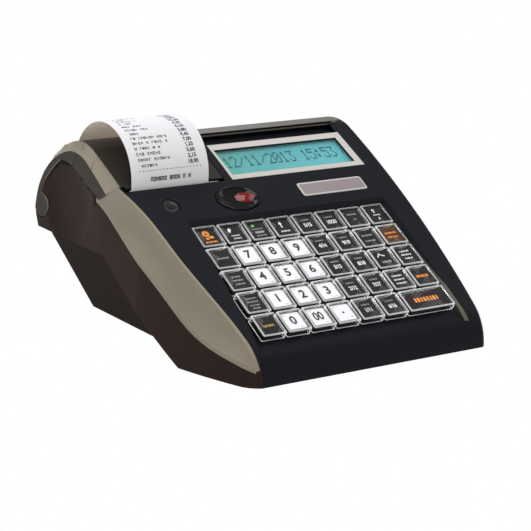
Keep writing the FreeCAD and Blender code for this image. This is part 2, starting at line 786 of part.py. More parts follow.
def lid_corners(slot_edge):
    """The region of the lid seen from the side, behind one edge of the paper slot."""
    low = on_deck(0, slot_edge, -size.slot_deep)
    high = on_deck(0, slot_edge, OUT_HIGH)
    top = RIM_TOP_SHARE * size.crest
    reach = RIM_REACH_SHARE * size.half_depth
    return [
        (low[1], low[2]),
        (HINGE_Y, HINGE_Z),
        (reach, HINGE_Z),
        (reach, top),
        (high[1], top),
        (high[1], high[2]),
    ]


# Left zone seen from above, as shares: where the side panel meets the upper case
LEFT_ZONE_SHARES = (
    (-0.952, -0.139), (-0.875, -0.556), (-0.7644, -0.898), (-0.7115, -0.954), (-0.7115, -1.04),
)


def left_zone_corners():
    """The zone of the side panel seen from above."""
    reach = BACK + size.overrun
    return [
        (FAR_LEFT, reach),
        (FAR_LEFT, LEFT_ZONE_SHARES[-1][1] * size.half_depth),
        *[(x * HALF_WIDTH, y * size.half_depth) for x, y in reversed(LEFT_ZONE_SHARES)],
        (LEFT_ZONE_SHARES[0][0] * HALF_WIDTH, reach),
    ]


# The top of the case right of the pale band belongs to the upper case
ABOVE_BAND_SHARES = (-0.075, 0.74)
ABOVE_BAND_DEPTH_SHARE = 0.325
above_band_y, above_band_z = profile_point(ABOVE_BAND_SHARES)
left_zone = cut(
    "left_zone", prism("left_zone_blank", "XY_Plane", left_zone_corners(), size.crest * 2),
    box("above_band", (FAR_LEFT, above_band_y, above_band_z),
        (size.overrun * 4, ABOVE_BAND_DEPTH_SHARE * size.half_depth, size.crest)),
)

# Dish pressed into the left cheek below the lid: its middle, and its radius and depth against the crest
DISH_SHARES = (0.63, 0.6615)
DISH_RADIUS_SHARE = 0.9837
DISH_DEPTH_SHARE = 0.0344
DISH_Y, DISH_Z = profile_point(DISH_SHARES)
DISH_RADIUS = DISH_RADIUS_SHARE * size.crest
DISH_X = LEFT + DISH_DEPTH_SHARE * size.crest - DISH_RADIUS


def make_side_panel():
    """The left side of the case with the dish in its cheek and the plate beside the paper bay."""
    dish_outer = ball("dish_outer", (DISH_X, DISH_Y, DISH_Z), DISH_RADIUS + size.wall)
    dish_wall = common("dish_wall", dish_outer, inner_form)
    panel = common("panel_skin", fuse("panel_blank", [case_skin, dish_wall]), left_zone)
    lip = side_prism("panel_lip_blank", profile_corners(size.lip_drop), LIP_LEFT, LIP_LEFT + size.lip_thick)
    lip_range = box(
        "panel_lip_range", (FAR_LEFT, on_deck(0, size.slot_start, 0)[1], HINGE_Z - size.arm_height),
        (size.overrun * 4, size.half_depth * 2, size.crest),
    )
    tools = [
        ball("dish", (DISH_X, DISH_Y, DISH_Z), DISH_RADIUS),
        side_prism("panel_rim_gap", rim_corners(size.seam), FAR_LEFT, LID_LEFT + size.overrun),
        hinge_rod("panel_disc_gap", FAR_LEFT, LIP_LEFT, size.disc_radius + size.disc_gap),
    ]
    panel = fuse("panel_with_lip", [
        cut_all("panel_shell", panel, tools),
        cut("panel_lip", common("panel_lip_whole", lip, lip_range), trim_region),
    ])
    swing_gap = hinge_rod("panel_swing_gap", LIP_LEFT, LID_LEFT, size.barrel_radius + size.barrel_gap)
    return cut("side_panel", panel, swing_gap)


side_panel = make_side_panel()
document.recompute()



# Key recess and deck
def recess_corners(beyond=0, ridge_front=0, ridge_back=0):
    """The key recess in the label plane, grown on all sides but its right, which can leave the ridge."""
    left = -size.recess_left - beyond
    front = -size.recess_front - beyond
    back = size.recess_back + beyond
    return [
        (left, back),
        (left, front),
        (size.recess_right + size.recess_flare - ridge_front, front),
        (size.recess_right - ridge_back, back, size.recess_radius),
    ]


DECK_TOP = -size.deck_drop
DECK_LOW = DECK_TOP - size.deck_thick
KEY_COLUMNS = 8
KEY_ROWS = 5
WIDE_COLUMN = 6
HOLE_HALF = size.stem_side / 2 + size.stem_gap
SWITCH_LOW = -size.switch_top - size.switch_height
STEM_LOW = SWITCH_LOW + size.switch_floor + size.stem_play + size.travel


def switch_places():
    """The across and up places of every key switch."""
    for row in range(KEY_ROWS):
        for column in range(KEY_COLUMNS):
            yield row, column, column * size.pitch, -row * size.pitch


def switch_boxes(name, half, low, high):
    """One square post on every key switch's place."""
    return group(name, [
        deck_box(f"{name}_{row}_{column}", (across - half, across + half), (up - half, up + half),
                 (low, high))
        for row, column, across, up in switch_places()
    ])


def make_deck():
    """The sunken deck with its walls, cut to the case's form."""
    margin = size.wall
    block = deck_box(
        "deck_block", (-size.recess_left - margin, size.recess_right + size.recess_flare + margin),
        (-size.recess_front, size.recess_back + margin), (DECK_LOW, OUT_HIGH),
    )
    return common("deck", block, inner_form)


def deck_prism(name, corners, low, high):
    """A prism square to the label plane with an outline drawn on it."""
    return prism(name, "XY_Plane", corners, high - low, 0, on_deck(0, 0, low), size.deck_slope)


def make_display_mount():
    """Floor of the display's recess and the dark groove behind it."""
    edge = size.wall
    floor = display_box(
        "display_floor", (-edge, size.bezel_width + size.flank_width + edge),
        (-edge, size.recess_length + edge), (-size.bezel_thick * 2, size.button_top),
    )
    tray = display_box(
        "groove_tray", (-edge, size.bezel_width + size.flank_width + edge),
        (size.groove_start - edge, size.recess_length + edge), (-size.groove_depth - edge, 0),
    )
    return common("display_mount", fuse("display_blank", [floor, tray]), outer_form)


WINDOW_RIGHT = size.window_left + size.window_width
WINDOW_BACK = size.window_front + size.window_length


def display_cuts():
    """The bezel's seat, the groove and the view through the floor."""
    seam = size.seam
    lip = size.pane_lip
    return [
        display_box("bezel_seat", (-seam, size.bezel_width + size.flank_width),
                    (-seam, size.recess_length), (-size.bezel_thick, size.button_top)),
        display_box("groove", (-seam, size.bezel_width + size.flank_width),
                    (size.groove_start, size.recess_length), (-size.groove_depth, 0)),
        display_box("display_view", (size.window_left - lip, WINDOW_RIGHT + lip),
                    (size.window_front - lip, WINDOW_BACK + lip), (-size.bezel_thick * 3, 0)),
    ]


BUTTON_OUT = (size.button_top - size.button_thick, size.button_top)
WELL_FLOOR = BUTTON_OUT[0] - size.button_travel - size.well_room


def make_button_well():
    """Oval well that the lid button sinks into."""
    wall = size.wall
    blank = oval("button_well_blank", size.button_x - FIRST_KEY_X, size.button_up,
                 (WELL_FLOOR - wall, OUT_HIGH), size.button_width + wall * 2, size.button_length + wall * 2)
    return common("button_well", blank, outer_form)


def button_well_cuts():
    """The well's hollow and the hole of the button's stem."""
    gap = size.button_gap
    across = size.button_x - FIRST_KEY_X
    return [
        oval("button_hole", across, size.button_up, (WELL_FLOOR, OUT_HIGH),
             size.button_width + gap * 2, size.button_length + gap * 2),
        deck_cylinder("button_guide_hole", across, size.button_up,
                      (WELL_FLOOR - size.overrun, size.button_top), size.guide_radius + size.loose_gap),
    ]


REAR_FLOOR = size.rear_pane_top - size.pane_thick


def make_rear_backing():
    """Thickening of the back behind the customer display."""
    edge = size.wall
    low = REAR_FLOOR - size.rear_backing
    reach = size.rear_length / 2 + edge
    blank = rear_box("rear_backing_blank", (-edge, size.rear_width + edge), (-reach, reach),
                     (low, size.back_radius * 2))
    return common("rear_backing", blank, outer_form)


def rear_cuts():
    """The seat of the customer display's pane and the view through it."""
    half = size.rear_length / 2
    gap = size.pane_gap
    margin = size.rear_margin
    return [
        rear_box("rear_seat", (-gap, size.rear_width + gap), (-half - gap, half + gap),
                 (REAR_FLOOR, size.back_radius * 2)),
        rear_box("rear_view", (margin, size.rear_width - margin), (-half + margin, half - margin),
                 (REAR_FLOOR - size.rear_backing * 2, size.back_radius)),
    ]


# Case screws, as shares of the half width and of the half depth
SCREW_SHARES = ((-0.76, -0.722), (0.913, -0.787), (-0.144, 0.611), (0.673, 0.611))


def screw_places():
    """Number and place of every case screw."""
    for count, (x, y) in enumerate(SCREW_SHARES, start=1):
        yield count, x * HALF_WIDTH, y * size.half_depth


def make_case_bosses():
    """Posts of the upper case that take the case screws."""
    low = size.boss_height + size.seam
    return common("case_bosses", group("case_boss_blanks", [
        cylinder(f"case_boss_{count}", (x, y, low), size.boss_radius, size.crest * 2)
        for count, x, y in screw_places()
    ]), inner_form)


def screw_bores(name, low, high, radius):
    """One upright hole on every case screw's place."""
    return group(name, [
        cylinder(f"{name}_{count}", (x, y, low), radius, high - low) for count, x, y in screw_places()
    ])


KNUCKLES = 3


def knuckle_span(count, gap=0):
    """Left and right end of one of the case's hinge knuckles, grown by a gap."""
    start = LEFT + size.knuckle_first - size.knuckle_width / 2 + size.knuckle_step * count
    return start - gap, start + size.knuckle_width + gap


def make_knuckles():
    """Hinge knuckles on arms that stand up from the case's back, clear of the swinging lid."""
    pieces = []
    for count in range(KNUCKLES):
        left, right = knuckle_span(count)
        pieces.append(hinge_rod(f"knuckle_{count}", left, right, size.knuckle_radius))
        low = HINGE_Z - size.arm_height
        arm = common(f"knuckle_arm_{count}", box(
            f"knuckle_arm_blank_{count}", (left, HINGE_Y - size.arm_width / 2, low),
            (right - left, size.arm_width + size.overrun, size.arm_height)), outer_form)
        swing = common(f"lid_swing_{count}", hinge_rod(
            f"lid_swing_rod_{count}", left, right, size.barrel_radius + size.barrel_gap), box(
            f"lid_swing_side_{count}", (left, HINGE_Y, low),
            (right - left, size.arm_width * 2, size.arm_height)))
        pieces.append(cut(f"knuckle_arm_cut_{count}", arm, swing))
    return pieces


def make_upper_case():
    """Top and right side of the case with the key deck, the display's floor and the bay's right wall."""
    lid_opening = side_prism("lid_opening", lid_corners(size.slot_start), LEFT + size.strip_width, BAY_RIGHT)
    rim_opening = side_prism("rim_opening", rim_corners(size.seam), FAR_LEFT, LEFT + size.strip_width)
    channel = hinge_rod("hinge_channel", FAR_LEFT, BAY_RIGHT, size.barrel_radius + size.barrel_gap)
    wall = common("bay_wall", box(
        "bay_wall_blank", (BAY_RIGHT, on_deck(0, size.slot_start, 0)[1], HINGE_Z - size.arm_height),
        (size.wall, size.half_depth * 2, size.crest)), outer_form)
    shell = cut_all("case_shell", case_skin, [left_zone, lid_opening, rim_opening, channel])
    blank = fuse("upper_blank", [
        shell, wall, make_deck(), make_display_mount(), make_button_well(), make_rear_backing(),
        make_case_bosses(),
    ])
    tools = [
        deck_prism("key_recess", recess_corners(), DECK_TOP, OUT_HIGH),
        switch_boxes("stem_holes", HOLE_HALF, DECK_LOW - size.overrun, DECK_TOP + size.overrun),
        deck_cylinder("seal_well", size.seal_x - FIRST_KEY_X, size.seal_up,
                      (size.seal_floor, OUT_HIGH), size.seal_radius),
        *display_cuts(), *button_well_cuts(), *rear_cuts(), hood_strip,
        screw_bores("case_screw_bores", 0, size.head_sink + EDGE_Z + size.screw_length,
                    size.screw_radius + size.running_gap),
    ]
    return fuse("upper_with_knuckles", [cut_all("upper_blank_cut", blank, tools), *make_knuckles()])


hood_region = box(
    "hood_region", (BAY_RIGHT, size.hood_front, HINGE_Z + size.back_radius / 2),
    (HALF_WIDTH - size.hood_end - BAY_RIGHT, size.hood_width, size.crest),
)
hood_strip = common("hood_strip", case_skin, hood_region)
upper_case = cut("upper_case", make_upper_case(), hinge_rod(
    "knuckle_bores", FAR_LEFT, BAY_RIGHT + size.wall + size.overrun, HINGE_BORE))


def make_case_trim():
    """Pale trim: band along the left edge, strip over the crest, side of the display and key ridge."""
    band = cut("band", common("band_blank", skin, trim_region), side_prism(
        "band_rim_gap", rim_corners(size.seam), FAR_LEFT, LEFT + size.overrun * 4))
    low = -size.bezel_thick
    start = size.bezel_width + size.seam
    end = size.bezel_width + size.flank_width
    flank = new_body("display_side_blank")
    outline = draw(flank, "XZ_Plane", "display_side_outline", [
        (start, low), (end, low), (end, low + size.flank_rise), (start, low + size.trim_depth / 4)])
    pad(flank, outline, size.recess_length, "display_side_pad").Reversed = True
    put(flank, on_display(0, 0, 0), size.display_slope)
    side = common("display_side", flank, outer_form)
    outer = deck_prism("ridge_outer", recess_corners(), DECK_TOP, DECK_TOP + size.ridge_stand)
    inner = deck_prism("ridge_inner", recess_corners(size.overrun, size.ridge_width, size.seam),
                       DECK_TOP - size.overrun, OUT_HIGH)
    ridge = common("ridge", cut("ridge_blank", outer, inner), outer_form)
    return group("case_trim", [band, hood_strip, side, ridge])


case_trim = make_case_trim()


# Printer lid
def make_lid_shell():
    """Lid skin behind the paper slot, its lower end round the hinge and the platen's bearing cheeks."""
    region = side_prism("lid_region", lid_corners(size.slot_start + size.slot_width), LID_LEFT, LID_RIGHT)
    main = common("lid_main", case_skin, region)
    strip_left = LEFT + size.rim_thick
    strip = cut("lid_strip", common("lid_strip_blank", case_skin, common(
        "lid_strip_region",
        side_prism("lid_strip_side", lid_corners(size.slot_start + size.slot_width), strip_left, LID_LEFT),
        side_prism("lid_strip_rim", rim_corners(0), strip_left, LID_LEFT),
    )), hinge_rod("lid_strip_clear", strip_left, LID_LEFT, size.cheek_reach))
    barrel_blank = hinge_rod("lid_barrel_blank", LID_LEFT, LID_RIGHT, size.barrel_radius)
    barrel = common("lid_barrel", barrel_blank, outer_form)
    paper_right = -size.paper_left + size.paper_width
    cheeks = []
    for name, left in (("left", -size.paper_left - size.loose_gap * 2 - size.bearing_thick),
                       ("right", paper_right + size.loose_gap * 4)):
        blank = box(f"bearing_blank_{name}", (left, size.platen_y - size.bearing_side / 2,
                                              size.platen_z - size.bearing_drop),
                    (size.bearing_thick, size.bearing_side, size.crest))
        cheeks.append(common(f"bearing_{name}", blank, outer_form))
    blank = fuse("lid_blank", [main, strip, barrel, *cheeks])
    tools = [rod("platen_bore", (-HALF_WIDTH, size.platen_y, size.platen_z),
                 size.shaft_radius + size.running_gap, HALF_WIDTH * 2),
             hinge_rod("lid_bore", FAR_LEFT, BAY_RIGHT, HINGE_BORE)]
    for count in range(KNUCKLES):
        left, right = knuckle_span(count, size.knuckle_gap)
        tools.append(hinge_rod(f"knuckle_slot_{count}", left, right,
                               size.knuckle_radius + size.running_gap * 4))
        tools.append(box(
            f"arm_slot_{count}", (left, HINGE_Y - size.arm_width, HINGE_Z - size.arm_height),
            (right - left, size.arm_width * 3, size.arm_height)))
    return cut_all("lid_shell", blank, tools)


lid_shell = make_lid_shell()


def make_lid_trim():
    """Pale rim along the lid's left edge, ending in a disc round the hinge."""
    slab = side_prism("rim_slab", profile_corners(0), LEFT, LEFT + size.rim_thick)
    crescent = common("rim_crescent", slab, side_prism(
        "rim_region", rim_corners(0), LEFT, LEFT + size.rim_thick))
    disc_blank = hinge_rod("rim_disc_blank", LEFT, LEFT + size.rim_thick, size.disc_radius)
    disc = common("rim_disc", slab, disc_blank)
    return common("lid_trim", fuse("rim_blank", [crescent, disc]), form)


lid_trim = make_lid_trim()
document.recompute()


# Lower case
FLOOR_TOP = EDGE_Z + size.wall
PLATE_SHARES = (
    (-0.683, -0.968), (0.966, -0.968), (0.966, -0.6), (0.740, -0.426), (0.740, 0.704),
    (-0.740, 0.704), (-0.740, -0.426), (-0.87, -0.6), (-0.845, -0.667), (-0.788, -0.88), (-0.702, -0.968),
)


def base_loft(name, inset, reach, low):
    """The leaning form of the lower case, moved in by an inset and reaching further at its front."""
    body = new_body(name)
    top_half = HALF_WIDTH - size.rim_inset - inset
    half = size.base_half - inset
    floor_corners = [
        (half, -size.base_front - reach), (half, size.base_back - inset),
        (-half, size.base_back - inset), (-half, -size.base_front - reach)]
    rim_corners_at_top = [
        (top_half, -size.rim_front - reach), (top_half, BACK - size.rim_back - inset),
        (-top_half, BACK - size.rim_back - inset), (-top_half, -size.rim_front - reach)]
    lower = draw(body, "XY_Plane", f"{name}_floor", floor_corners, low)
    upper = draw(body, "XY_Plane", f"{name}_rim", rim_corners_at_top, EDGE_Z + size.rim_height)
    loft = body.newObject("PartDesign::AdditiveLoft", f"{name}_loft")
    loft.Profile = lower
    loft.Sections = [upper]
    return body


PORT_BACK = size.base_back
BAY_TOP = EDGE_Z + size.port_height
PORT_RIGHT = size.port_left + size.port_width
MAIN_RIGHT = size.main_left + size.main_width
MAIN_BACK = size.main_front + size.main_length
MAIN_TOP = size.main_height + size.board_thick

# Sockets on the main board, as shares of the bay's sides: middle, width, height, hole's width and height
SOCKET_SHARES = (
    ("drawer", 0.16, 0.2105, 0.4655, 0.1553, 0.2828),
    ("service", 0.40, 0.1842, 0.3793, 0.1132, 0.269),
    ("scale", 0.64, 0.2632, 0.431, 0.2158, 0.2966),
    ("power", 0.85, 0.1447, 0.3793, 0.0842, 0.2207),
)


def socket_sizes():
    """Name, left end, width and height of each socket and the width and height of its hole."""
    for name, middle, width, height, hole_width, hole_height in SOCKET_SHARES:
        yield (name, size.port_left + (middle - width / 2) * size.port_width, width * size.port_width,
               height * size.port_height, hole_width * size.port_width, hole_height * size.port_height)


def make_bottom_case():
    """Floor plate and leaning walls with the connector bay at the back, screw bosses and board posts."""
    plate = prism("base_plate", "XY_Plane",
                  [(x * HALF_WIDTH, y * size.half_depth) for x, y in PLATE_SHARES], size.wall, EDGE_Z)
    outer = base_loft("base_outer", as_length(0), as_length(0), EDGE_Z)
    inner = base_loft("base_inner", size.wall, size.overrun, EDGE_Z)
    walls = cut("base_walls", outer, inner)
    bay_blank = common("bay_walls", box(
        "bay_walls_blank", (size.port_left - size.wall, PORT_BACK - size.wall, EDGE_Z),
        (size.port_width + size.wall * 2, size.half_depth, size.port_height + size.wall)), outer)
    bay = box("bay_hollow", (size.port_left, PORT_BACK, EDGE_Z - size.overrun),
              (size.port_width, size.half_depth, size.port_height + size.overrun))
    bosses = [cylinder(f"boss_{count}", (x, y, EDGE_Z), size.boss_radius, size.boss_height - EDGE_Z)
              for count, x, y in screw_places()]
    inset = size.post_inset
    posts = [
        cylinder(f"post_{count}", (x, y, EDGE_Z), size.post_radius, size.main_height - EDGE_Z)
        for count, (x, y) in enumerate([
            (size.main_left + inset, size.main_front + inset), (MAIN_RIGHT - inset, size.main_front + inset),
            (size.main_left + inset, MAIN_BACK - inset * 4), (MAIN_RIGHT - inset, MAIN_BACK - inset * 4),
        ], start=1)
    ]
    bucket_radius = size.roll_radius + size.bucket_gap + size.frame_wall + size.seam
    bucket_clearance = rod(
        "bucket_clearance", (-size.frame_left - size.seam, size.roll_y, size.roll_z + size.roll_play),
        bucket_radius, size.frame_left)
    tools = [bay, bucket_clearance]
    for name, left, width, height, _, _ in socket_sizes():
        tools.append(box(f"port_{name}", (left - size.seam, PORT_BACK - size.overrun, MAIN_TOP),
                         (width + size.seam * 2, size.overrun * 2, height + size.seam)))
    blank = fuse("base_blank", [plate, walls, bay_blank, *bosses, *posts])
    tools += [
        screw_bores("base_screw_bores", 0, size.boss_height * 2, size.screw_radius + size.running_gap),
        screw_bores("base_head_bores", 0, EDGE_Z + size.head_sink, size.screw_head + size.running_gap),
    ]
    return cut_all("bottom_case", blank, tools)


bottom_case = make_bottom_case()


FOOT_SHARES = ((-0.635, -0.833), (0.846, -0.833), (-0.615, 0.574), (0.615, 0.574))


def make_feet():
    """Four rubber feet under the corners of the floor plate."""
    feet = []
    for count, (x, y) in enumerate(FOOT_SHARES, start=1):
        body = new_body(f"foot_{count}")
        sketch = circle(body, "XY_Plane", f"foot_{count}_outline",
                        (x * HALF_WIDTH, y * size.half_depth), size.foot_radius)
        pad(body, sketch, EDGE_Z, f"foot_{count}_pad")
        feet.append(body)
    return group("rubber_feet", feet)


rubber_feet = make_feet()


def make_screws():
    """Case screws from below and the pin of the lid's hinge."""
    pieces = []
    for count, x, y in screw_places():
        head = cylinder(f"screw_head_{count}", (x, y, EDGE_Z), size.screw_head, size.head_sink)
        shank = cylinder(f"screw_shank_{count}", (x, y, EDGE_Z), size.screw_radius, size.screw_length)
        recess = cylinder(f"screw_recess_{count}", (x, y, EDGE_Z - size.overrun), size.screw_radius / 2,
                          size.overrun + size.head_sink / 2)
        pieces.append(cut(f"screw_{count}", fuse(f"screw_blank_{count}", [head, shank]), recess))
    pin_right = BAY_RIGHT + size.wall
    pieces.append(hinge_rod("hinge_pin", LIP_LEFT, pin_right, size.pin_radius))
    return group("screws_and_pins", pieces)


screws_and_pins = make_screws()


# Display
def make_bezel():
    """Silver frame of the display with its window."""
    body = new_body("display_bezel")
    sketch = draw(body, "XY_Plane", "bezel_outline", [
        (0, 0), (size.bezel_width, 0), (size.bezel_width, size.bezel_length), (0, size.bezel_length)])
    pad(body, sketch, size.bezel_thick, "bezel_pad").Reversed = True
    window = draw(body, "XY_Plane", "bezel_window", [
        (size.window_left, size.window_front), (WINDOW_RIGHT, size.window_front),
        (WINDOW_RIGHT, WINDOW_BACK), (size.window_left, WINDOW_BACK)])
    pocket(body, window, size.bezel_thick, "bezel_window_pocket")
    gap = size.pane_lip + size.pane_gap
    seat = draw(body, "XY_Plane", "bezel_seat_outline", [
        (size.window_left - gap, size.window_front - gap), (WINDOW_RIGHT + gap, size.window_front - gap),
        (WINDOW_RIGHT + gap, WINDOW_BACK + gap), (size.window_left - gap, WINDOW_BACK + gap)],
        size.pane_thick - size.bezel_thick)
    pocket(body, seat, size.bezel_thick, "bezel_seat_pocket")
    return put(body, on_display(0, 0, 0), size.display_slope)


display_bezel = make_bezel()


def make_windows():
    """Clear panes over the operator's and the customer's display."""
    lip = size.pane_lip
    front = display_box("front_pane", (size.window_left - lip, WINDOW_RIGHT + lip),
                        (size.window_front - lip, WINDOW_BACK + lip),
                        (-size.bezel_thick, size.pane_thick - size.bezel_thick))
    half = size.rear_length / 2
    rear = rear_box("rear_pane", (as_length(0), size.rear_width), (-half, half),
                    (REAR_FLOOR, size.rear_pane_top))
    return group("display_windows", [front, rear])


display_windows = make_windows()


def make_modules():
    """Liquid crystal glasses on their circuit boards, behind both panes."""
    top = -size.bezel_thick * 2
    low = top - size.glass_thick
    margin = size.module_margin
    lip = size.pane_lip
    front = fuse("front_module", [
        display_box("front_glass", (size.window_left - lip, WINDOW_RIGHT + lip),
                    (size.window_front - lip, WINDOW_BACK + lip), (low, top)),
        display_box("front_board", (size.window_left - margin, WINDOW_RIGHT + margin),
                    (size.window_front - margin, WINDOW_BACK + margin), (low - size.board_thick, low)),
    ])
    top = REAR_FLOOR - size.rear_backing
    low = top - size.glass_thick
    half = size.rear_length / 2
    rear = fuse("rear_module", [
        rear_box("rear_glass", (as_length(0), size.rear_width), (-half, half), (low, top)),
        rear_box("rear_board", (-margin, size.rear_width + margin), (-half - margin, half + margin),
                 (low - size.board_thick, low)),
    ])
    return group("lcd_modules", [front, rear])


lcd_modules = make_modules()


def make_lid_button():
    """Oval button with its raised lens and guide stem."""
    across = size.button_x - FIRST_KEY_X
    low, high = BUTTON_OUT
    return fuse("lid_button", [
        oval("button_plate", across, size.button_up, BUTTON_OUT, size.button_width, size.button_length),
        oval("button_lens", across + size.lens_shift, size.button_up, (low, high + size.lens_stand),
             size.lens_width, size.lens_length),
        deck_cylinder("button_stem", across, size.button_up, (low - size.guide_length, low),
                      size.guide_radius),
    ])


lid_button = make_lid_button()


# Circuit boards
def make_boards():
    """Keyboard board with its switch housings, and the main board with its sockets."""
    top = -size.switch_top
    low = SWITCH_LOW
    half = size.switch_side / 2
    reach = half + size.board_margin
    board = deck_box("key_board", (-reach, (KEY_COLUMNS - 1) * size.pitch + reach),
                     (-(KEY_ROWS - 1) * size.pitch - reach, reach), (low - size.board_thick, low))
    housings = switch_boxes("switch_housings", half, low, top)
    wells = switch_boxes("switch_wells", HOLE_HALF, low + size.switch_floor, size.cap_top)
    keyboard = cut("keyboard_board", fuse("keyboard_blank", [board, housings]), wells)
    main = box("main_board", (size.main_left, size.main_front, size.main_height),
               (size.main_width, size.main_length, size.board_thick))
    pieces, holes = [main], []
    back = PORT_BACK
    for name, left, width, height, hole_width, hole_height in socket_sizes():
        pieces.append(box(f"socket_{name}", (left, back - size.socket_depth, MAIN_TOP),
                          (width, size.socket_depth, height)))
        holes.append(box(f"socket_hole_{name}", (left + (width - hole_width) / 2,
                                                 back - size.socket_depth + size.socket_wall,
                                                 MAIN_TOP + (height - hole_height) / 2),
                         (hole_width, size.socket_depth, hole_height)))
    main_side = cut("main_board_side", fuse("main_blank", pieces), group("socket_holes", holes))
    return group("circuit_boards", [keyboard, main_side])


circuit_boards = make_boards()


# Printer
def make_printer_frame():
    """Bucket for the roll, end plates, legs and the print head on its front plate."""
    left = -size.frame_left
    right = -size.frame_right
    end = size.end_plate
    wall = size.frame_wall
    roll_middle = (size.roll_y, size.roll_z + size.roll_play)
    inner = size.roll_radius + size.bucket_gap
    inner_right = right - end
    bucket_right = inner_right - end / 2

    def bucket_rod(name, start, stop, radius):
        return rod(name, (start, *roll_middle), radius, stop - start)

    bucket = bucket_rod("bucket_blank", left, inner_right, inner + wall)
    legs = [
        box(f"leg_{name}", (-size.leg_left, y, FLOOR_TOP),
            (size.leg_left - size.leg_right, wall, size.frame_shelf + wall - FLOOR_TOP))
        for name, y in (("front", size.front_leg), ("rear", size.rear_leg))
    ]
    shelf = box("frame_shelf", (left, size.frame_front, size.frame_shelf),
                (right - left, size.front_leg - size.frame_front + wall, wall))
    front = box("frame_front", (left, size.frame_front, size.frame_shelf),
                (right - left, size.front_thick, size.front_top - size.frame_shelf))
    plate_length = size.front_leg - size.frame_front - size.overrun
    plates = [
        box("gear_plate", (inner_right, size.frame_front, size.frame_shelf),
            (end, plate_length, size.frame_top - size.frame_shelf)),
        box("left_plate", (left, size.frame_front, size.frame_shelf),
            (end, plate_length, size.frame_top - size.frame_shelf)),
    ]
    head_low = size.head_top - size.head_height
    head = box("print_head", (-size.paper_left, size.frame_front + size.front_thick, head_low),
               (size.paper_width, size.head_thick, size.head_height))
    axle = rod("idler_axle", (inner_right, size.idler_y, size.idler_z), size.axle_radius,
               end + size.gear_width + size.gear_width / 2)
    blank = fuse("frame_blank", [bucket, *legs, shelf, front, *plates, head, axle])
    open_top = box("bucket_opening", (left - size.overrun, size.roll_y - inner - wall * 2, size.bucket_rim),
                   (inner_right - left + size.overrun * 2, size.half_depth, size.crest))
    hollow = bucket_rod("bucket_hollow", left + end, bucket_right - end / 4, inner)
    shaft = rod("motor_shaft_hole", (inner_right - end, size.pinion_y, size.pinion_z),
                size.motor_shaft + size.running_gap, end * 3)
    return cut_all("printer_frame", blank, [open_top, hollow, shaft])


printer_frame = make_printer_frame()


# A gear tooth as shares of the module: depth below the pitch circle, sunk foot, half width at foot and tip
ROOT_SHARE = 1.25
FOOT_SINK_SHARE = 0.3333
FOOT_HALF_SHARE = 1.03
TIP_HALF_SHARE = 0.38


def make_gear(name, teeth, phase, bore, place):
    """A spur gear along X: a root disc, one tooth and a polar pattern of it."""
    body = new_body(name)
    module = size.gear_module
    root = module * teeth / 2 - module * ROOT_SHARE
    foot = root - module * FOOT_SINK_SHARE
    tip = module * teeth / 2 + module
    disc = circle(body, "XY_Plane", f"{name}_disc", (0, 0), root)
    pad(body, disc, size.gear_width, f"{name}_disc_pad")
    tooth = draw(body, "XY_Plane", f"{name}_tooth", [
        (foot, -module * FOOT_HALF_SHARE), (tip, -module * TIP_HALF_SHARE),
        (tip, module * TIP_HALF_SHARE), (foot, module * FOOT_HALF_SHARE)])
    tooth_pad = pad(body, tooth, size.gear_width, f"{name}_tooth_pad")
    pattern = body.newObject("PartDesign::PolarPattern", f"{name}_teeth")
    pattern.Originals = [tooth_pad]
    pattern.Axis = (tooth, ["N_Axis"])
    pattern.Angle = 360
    pattern.Occurrences = int(teeth.value)
    pattern.setExpression("Occurrences", teeth.text)
    body.Tip = pattern
    if bore is not None:
        document.recompute()
        pocket(body, circle(body, "XY_Plane", f"{name}_bore", (0, 0), bore), size.gear_width * 3,
               f"{name}_bore_pocket", centred=True)
    turn = Rotation(Y_AXIS, 90) * Rotation(Z_AXIS, number(phase) - 90)
    body.Placement = FreeCAD.Placement(vector(place), turn)
    for letter, part in zip("xyz", place):
        body.setExpression(f".Placement.Base.{letter}", text(part))
    return body


GEAR_LEFT = -size.gear_left


def make_platen():
    """Rubber platen on its shaft with its gear."""
    rubber = rod("platen_rubber", (-size.paper_left, size.platen_y, size.platen_z),
                 size.platen_radius, size.paper_width)
    start = -size.paper_left - size.loose_gap - size.bearing_thick
    shaft = rod("platen_shaft", (start, size.platen_y, size.platen_z), size.shaft_radius,
                GEAR_LEFT + size.gear_width - start)
    gear = make_gear("platen_gear", size.platen_teeth, size.platen_phase, None,
                     (GEAR_LEFT, size.platen_y, size.platen_z))
    return fuse("platen_roller", [rubber, shaft, gear])


platen_roller = make_platen()
reduction_gear = make_gear("reduction_gear", size.idler_teeth, size.idler_phase,
                           size.axle_radius + size.running_gap, (GEAR_LEFT, size.idler_y, size.idler_z))
MOTOR_LEFT = -size.frame_right - size.end_plate - size.motor_length
MOTOR_MIDDLE = MOTOR_LEFT + size.motor_length / 2
motor_pinion = fuse("motor_pinion", [
    make_gear("pinion_gear", size.pinion_teeth, size.pinion_phase, None,
              (GEAR_LEFT, size.pinion_y, size.pinion_z)),
    rod("motor_shaft", (MOTOR_MIDDLE, size.pinion_y, size.pinion_z), size.motor_shaft,
        GEAR_LEFT - MOTOR_MIDDLE),
])


def make_motor():
    """Stepper motor can with a flat connector boss."""
    place = (MOTOR_LEFT, size.pinion_y, size.pinion_z)
    can = rod("motor_can", place, size.motor_radius, size.motor_length)
    boss = box("motor_plug", (MOTOR_LEFT + size.motor_length / 4, size.pinion_y - size.motor_radius / 2,
                              size.pinion_z - size.motor_radius - size.end_plate),
               (size.motor_length / 2, size.motor_radius, size.motor_radius))
    hole = rod("motor_hole", place, size.motor_shaft + size.running_gap, size.motor_length * 2)
    return cut("drive_motor", fuse("motor_blank", [can, boss]), hole)


drive_motor = make_motor()


